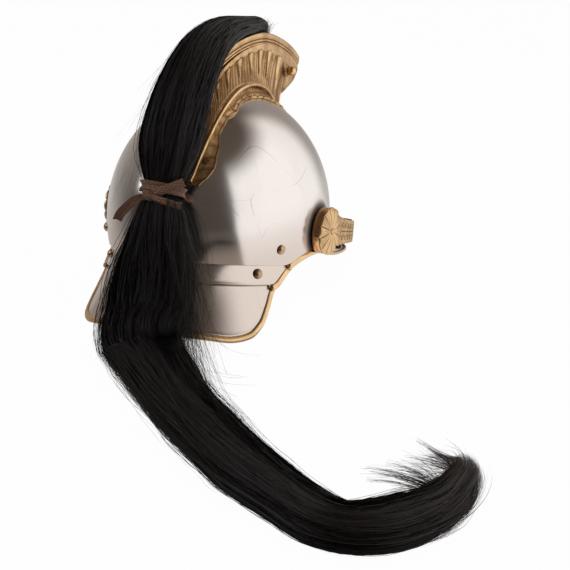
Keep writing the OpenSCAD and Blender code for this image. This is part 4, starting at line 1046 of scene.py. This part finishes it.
def loose_hair(name, start, way, length, width, curl, brown, loose=0.35):
    """Single hairs that leave the mane: starts, headings, lengths, and how hard each one curls."""
    n = len(start)
    t = np.linspace(0, 1, LOOSE_STEPS)
    ds = length / (LOOSE_STEPS - 1)
    p, h = start.copy(), unit(way)
    path = [p.copy()]
    axis = unit(points(chance.normal(0, loose, n), chance.normal(0, loose, n), np.where(curl < 0, -1.0, 1.0)))
    phase = chance.uniform(0, 6.28, n)
    for k in range(LOOSE_STEPS - 1):
        bend = np.abs(curl) * (0.35 + 1.3 * t[k]) * (1 + 0.6 * np.sin(5 * t[k] + phase))
        h = unit(h + np.cross(axis, h) * (bend * ds)[:, None] - UP * 0.0016 * ds[:, None])
        p = p + h * ds[:, None]
        low = p[:, 2] < LOOSE_LOWEST
        p[low, 2] = LOOSE_LOWEST
        h[low, 2] = np.maximum(h[low, 2], 0)
        path.append(p.copy())
    p = np.stack(path, 1)
    f = unit(np.gradient(p, axis=1))
    across = unit(np.cross(f, unit(chance.normal(0, 1, (n, 1, 3)))))
    thick = (width * (1 - 0.75 * t) * np.clip(t * 30 + 0.5, 0, 1))[None] * chance.uniform(0.6, 1.2, n)[:, None]
    flat_hairs(name, p, across, thick, chance.uniform(0.2, 1, n), brown)


def make_mane():
    make_core()
    for k in range(7):
        hair_strips(f"mane_hair_{k + 1}", 1000, (0.60, 1.0), 0.62, (0.0, 5.6), (20.5, MANE_END), 0.12)
    hair_strips("mane_wisps", 640, (0.9, 1.02), 0.34, (1.0, 13.0), (14.0, MANE_END), 0.10, stray=0.26, fan=0.8)
    hair_strips("mane_strays", 170, (0.9, 1.0), 0.24, (3.0, 9.4), (11.0, 24.0), 0.10, stray=0.85, fan=0.9)
    n = 110
    u = chance.uniform(23.0, MANE_END, n)
    a = chance.uniform(0, 2 * np.pi, n)
    r = np.sqrt(chance.uniform(0.1, 1, n)) * 0.95
    start = bundle(u, r * np.cos(a), r * np.sin(a))
    ahead = along(u, HF) + points(chance.normal(0.08, 0.14, n), chance.normal(0, 0.14, n),
                                  chance.normal(0.05, 0.1, n))
    loose_hair("tail_end_hair", start, ahead, chance.uniform(12, 36, n), 0.3, chance.normal(0.016, 0.010, n), 0.7)
    n, locks = 330, 12
    which = chance.integers(0, locks, n)
    lock_u, lock_x = chance.uniform(24.2, 26.7, locks), chance.uniform(-0.3, 1.0, locks)
    lock_way = points(chance.uniform(0.5, 1.0, locks), chance.uniform(-0.6, 0.15, locks),
                      chance.uniform(0.0, 0.3, locks))
    lock_long, lock_curl = chance.uniform(24, 62, locks), chance.uniform(0.005, 0.036, locks)
    start = bundle(lock_u[which] + chance.normal(0, 0.14, n), lock_x[which] + chance.normal(0, 0.09, n),
                   chance.uniform(-0.4, 0.4, n))
    ahead = lock_way[which] + chance.normal(0, 0.012, (n, 3))
    loose_hair("tail_locks", start, ahead, lock_long[which] * chance.uniform(0.7, 1.05, n), 0.5,
               lock_curl[which] + chance.normal(0, 0.002, n), 0.8, 0.05)
    for name, n, span, edge, way, lengths, width in (
            ("side_wisps_right", 330, (9.4, 12.4), (0.75, 1.0), -0.55, (50, 125), 0.42),
            ("side_wisps_left", 60, (5.0, 11.5), (-1.0, -0.85), 0.22, (25, 90), 0.24)):
        u, x = chance.uniform(*span, n), chance.uniform(*edge, n)
        start = bundle(u, x, chance.uniform(0.0, 0.6, n))
        ahead = along(u, HF) + points(way * chance.uniform(0.1, 1.2, n), chance.uniform(0.02, 0.26, n), 0)
        loose_hair(name, start, ahead, chance.uniform(*lengths, n), width, chance.normal(0, 0.006, n), 0.25, 0.7)
    n = 90
    s = chance.uniform(0.33, 0.40, n)
    start = stood(ridge(s) + inward(s) * -0.5 + points(chance.uniform(-3.5, 3.5, n), 0, 0))
    ahead = points(chance.normal(0, 0.3, n), chance.normal(-0.35, 0.35, n), chance.uniform(0.5, 1.2, n))
    loose_hair("front_tuft", start, ahead, chance.uniform(9, 17, n), 0.4, chance.normal(0.0, 0.05, n), 0.0)


def strip(path, across, width, thick, fold):
    """Strip along a path, creased down its middle."""
    f = heading(path)
    side = unit(across - f * np.sum(across * f, -1, keepdims=True))
    n = np.cross(f, side)
    k = row(-0.5, 0.5, 9)
    width = np.broadcast_to(width, len(path))[:, None]
    g = path[:, None] + side[:, None] * (width * k * math.sqrt(1 - fold ** 2))[..., None]
    g = g + n[:, None] * (width * (0.25 - np.sqrt(k ** 2 + 0.002)) * fold)[..., None]
    return plate(g + n[:, None] * thick / 2, g - n[:, None] * thick / 2)


def make_ribbon():
    q, f, hw, ht = (along(np.array([TIE]), line)[0] for line in (HP, HF, HHALF_W, HHALF_T))
    high = unit(np.cross([-1.0, 0, 0], f))
    a = np.linspace(0, 2 * np.pi * 2, 200)
    r = 2.6 + 0.9 * a / (4 * np.pi)
    path = (q + np.array([-1.0, 0, 0]) * ((hw + r) * np.cos(a))[:, None] + high * ((ht + r) * np.sin(a))[:, None]
            + f * (1.1 * np.cos(a) + 0.6 * np.sin(a * 0.5))[:, None])
    verts, faces = strip(path, np.tile(f, (len(a), 1)), TAPE, 0.6, 0.55)
    band = piece("ribbon_wrap", verts, faces, RIBBON, nodes=["ribbon_band"], table=True)
    knot = q + np.array([6, ht + 2.9, 0.0])
    a = np.linspace(0, 2 * np.pi, 60)
    round_ = knot + points(4.6 * np.cos(a), 2.6 + 1.9 * np.sin(a), 0.6 * np.sin(2 * a))
    verts, faces = strip(round_, np.tile([0.1, 0, 1.0], (60, 1)), TAPE, 0.7, 0.5)
    tied = piece("ribbon_knot", verts, faces, RIBBON, nodes=["ribbon_ends"], table=True)
    ends = {"left_low": [[3, 1, -1], [9, 3.4, -3], [15, 5.2, -7], [21, 7, -13], [26, 7.6, -19], [29, 8, -25]],
            "right_high": [[-3, 1, 1], [-9, 2.4, 3], [-15, 2, 5.6], [-21, 0, 8], [-27, -2.6, 10.4], [-33, -5, 13]],
            "right_low": [[-3, 2.6, -2], [-9, 4.2, -2.6], [-15, 4, -4.4], [-21, 2.4, -6.4], [-26, 1, -8],
                          [-31, -1, -9]]}
    for name, pts in ends.items():
        pts = np.array(pts, float)
        t = np.linspace(0, len(pts) - 1, 50)
        path = knot + np.stack(through(pts, t), -1)
        width = TAPE - 2.5 + 2.5 * smooth(t, 0, 2)
        verts, faces = strip(path, np.tile([0.05, 0.25, 1.0], (50, 1)), width, 0.55, 0.5)
        tail = piece("ribbon_end_" + name, verts, faces, RIBBON, table=True)


# Lining
def make_lining():
    a = np.linspace(0, 360, 180, endpoint=False)[:, None]
    z = row(-19, 10, 16)
    ring = np.concatenate([wall(a, z, BAND_OUT), wall(a, z[:, ::-1], BAND_IN)], 1)
    piece("head_band", *tube(ring, closed=True), LINING, nodes=["liner_band"], soft_edges=50)
    t, j = row(0, 1, 26), column(-1, 1, 21)
    w = 21 * (1 - t ** 1.6) + 3.2
    up = 4 + 52 * t
    d = 9.3 + 18.7 * t * t
    parts = []
    for i in range(TONGUES):
        arc = i * (360 / TONGUES) + j * w / (0.35 + 0.65 * (1 - t))
        parts.append(plate(dome(arc, up, d + 0.75), dome(arc, up, d - 0.75)))
    piece("head_tongues", *joined(parts), LINING, nodes=["liner_tongues"], soft_edges=50)


# Studio
def sector(tree, x, y):
    """How far a direction lies in the lit side of the room, and how near it is to straight ahead of the visor. The
    limits are angles in radians."""
    turn = calc(tree, "ARCTAN2", x, times(tree, y, -1.0))
    lit = times(tree, ramp(tree, turn, -2.165, -2.115), ramp(tree, turn, -0.46, -0.06, 1.0, 0.0))
    return lit, ramp(tree, calc(tree, "ABSOLUTE", turn), 0.9, 2.0, 1.0, 0.0)


def make_floor():
    """Table: nearly pure white to the camera, and toned by direction where the steel mirrors it."""
    bpy.ops.mesh.primitive_plane_add(size=40, location=(0, 0, 0))
    floor = bpy.context.object
    floor.name = "floor"
    m, tree, surface = blank("pale floor")
    fill(tree, surface, {"Base Color": (0.88, 0.88, 0.88, 1), "Roughness": 0.9, "Specular IOR Level": 0.1})
    where = here(tree)
    spot = parts_of(tree, where)
    lit, ahead = sector(tree, plus(tree, spot["X"], 0.085), plus(tree, spot["Y"], -0.088))
    away = node(tree, "VectorMath", {0: where}, operation="LENGTH").outputs["Value"]
    far = ramp(tree, away, 0.28, 1.3)
    dark = mix(tree, ramp(tree, away, 0.18, 0.5), (0.375, 0.325, 0.29), (0.12, 0.104, 0.095))
    front = mix(tree, far, (0.60, 0.57, 0.55), (0.40, 0.37, 0.35))
    bright = mix(tree, far, (1.06, 1.03, 1.01), (1.12, 1.09, 1.065))
    tone = mix(tree, lit, mix(tree, ahead, dark, front), bright)
    seen = node(tree, "LightPath").outputs
    tone = mix(tree, seen["Is Camera Ray"], tone, (1.0, 1.0, 1.0))
    glow = node(tree, "Emission", {"Color": tone, "Strength": 1.0}).outputs[0]
    share = plus(tree, times(tree, seen["Is Camera Ray"], 0.98), seen["Is Glossy Ray"])
    mixed = node(tree, "MixShader", {0: share, 1: surface.outputs[0], 2: glow}).outputs[0]
    tree.links.new(mixed, tree.nodes["Material Output"].inputs["Surface"])
    floor.data.materials.append(m)


def make_room():
    """White behind the helmet, and a lit sector and a dark room in what it mirrors."""
    world = bpy.data.worlds.new("studio")
    bpy.context.scene.world = world
    world.use_nodes = True
    tree = world.node_tree
    tree.nodes.clear()
    way = parts_of(tree, node(tree, "TexCoord").outputs["Generated"])
    lit, ahead = sector(tree, way["X"], way["Y"])
    room = mix(tree, ahead, (0.075, 0.062, 0.053), (0.36, 0.325, 0.30))
    room = mix(tree, ramp(tree, way["Z"], 0.45, 0.9), room, (0.10, 0.078, 0.062))
    lit = times(tree, lit, ramp(tree, way["Z"], 0.60, 0.88, 1.0, 0.0))
    room = mix(tree, lit, room, (1.12, 1.09, 1.06))
    seen = node(tree, "LightPath").outputs
    around = node(tree, "Background", {"Color": room, "Strength": 1.0}).outputs[0]
    white = node(tree, "Background", {"Color": (1, 1, 1, 1), "Strength": 1.0}).outputs[0]
    mixed = node(tree, "MixShader", {0: seen["Is Camera Ray"], 1: around, 2: white}).outputs[0]
    tree.links.new(mixed, node(tree, "OutputWorld").inputs["Surface"])


def make_lamps():
    for name, place, size, power in (("left lamp", (1.5, 1.0, 1.3), (1.3, 1.3), 9),
                                     ("over", (-0.4, 0.9, 1.9), (1.4, 1.4), 9)):
        lamp = bpy.data.lights.new(name, "AREA")
        lamp.shape, lamp.size, lamp.size_y, lamp.energy = "RECTANGLE", size[0], size[1], power
        obj = bpy.data.objects.new(name, lamp)
        bpy.context.scene.collection.objects.link(obj)
        obj.location = place
        obj.rotation_euler = (Vector((0, 0.1, 0.1)) - Vector(place)).to_track_quat("-Z", "Y").to_euler()
        obj.visible_glossy = name == "left lamp"


# Assembly
make_skull()
neck_plate("steel_lame", LAME_LOW, LAME_TOP, LAME_IN, ["neck_lame"], "neck_lame")
neck_plate("steel_guard", GUARD_LOW, GUARD_TOP, GUARD_IN, ["neck_guard"], "neck_guard")
edge_binding("guard_edge", GUARD_LOW, -56.8, 56.8, GUARD_IN, ["guard_binding"], "neck_guard")
edge_binding("lame_edge_right", LAME_LOW, 58.2, 69.3, LAME_IN, ["lame_binding_right"], "neck_lame", 40)
edge_binding("lame_edge_left", LAME_LOW, -69.3, -58.2, LAME_IN, ["lame_binding_left"], "neck_lame", 40)
rim_binding()
make_visor()
make_crest_walls()
make_crest_rolls()
make_crest_front()
make_leaf_bands()
make_crest_knobs()
make_forehead_plate()
make_rosettes()
make_chin_scales()
make_mane()
make_ribbon()
make_lining()
make_floor()
make_room()
make_lamps()

# Nodes that are shown as packed, by finish
KEPT = {BRASS: ["crest_bridge_front", "crest_bridge_rear", "visor_rivets", "plume_socket", "plume_bracket",
                "rosette_pin_right", "rosette_pin_left", "chin_buckle", "buckle_bar", "buckle_tongue"],
        BRONZE: ["lame_rivet_right", "lame_rivet_left", "guard_rivet_right", "guard_rivet_left", "crest_screw_right",
                 "crest_screw_left"],
        STEEL_DULL: ["crest_bolt_front", "crest_bolt_rear", "crest_nut_front", "crest_nut_rear"],
        HIDE: ["mane_root"], CORD: ["liner_cord"]}
for (material, _), names in KEPT.items():
    for n in names:
        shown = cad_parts[n]
        shown.data.materials.clear()
        shown.data.materials.append(material)

bpy.context.scene.view_settings.view_transform = "Standard"
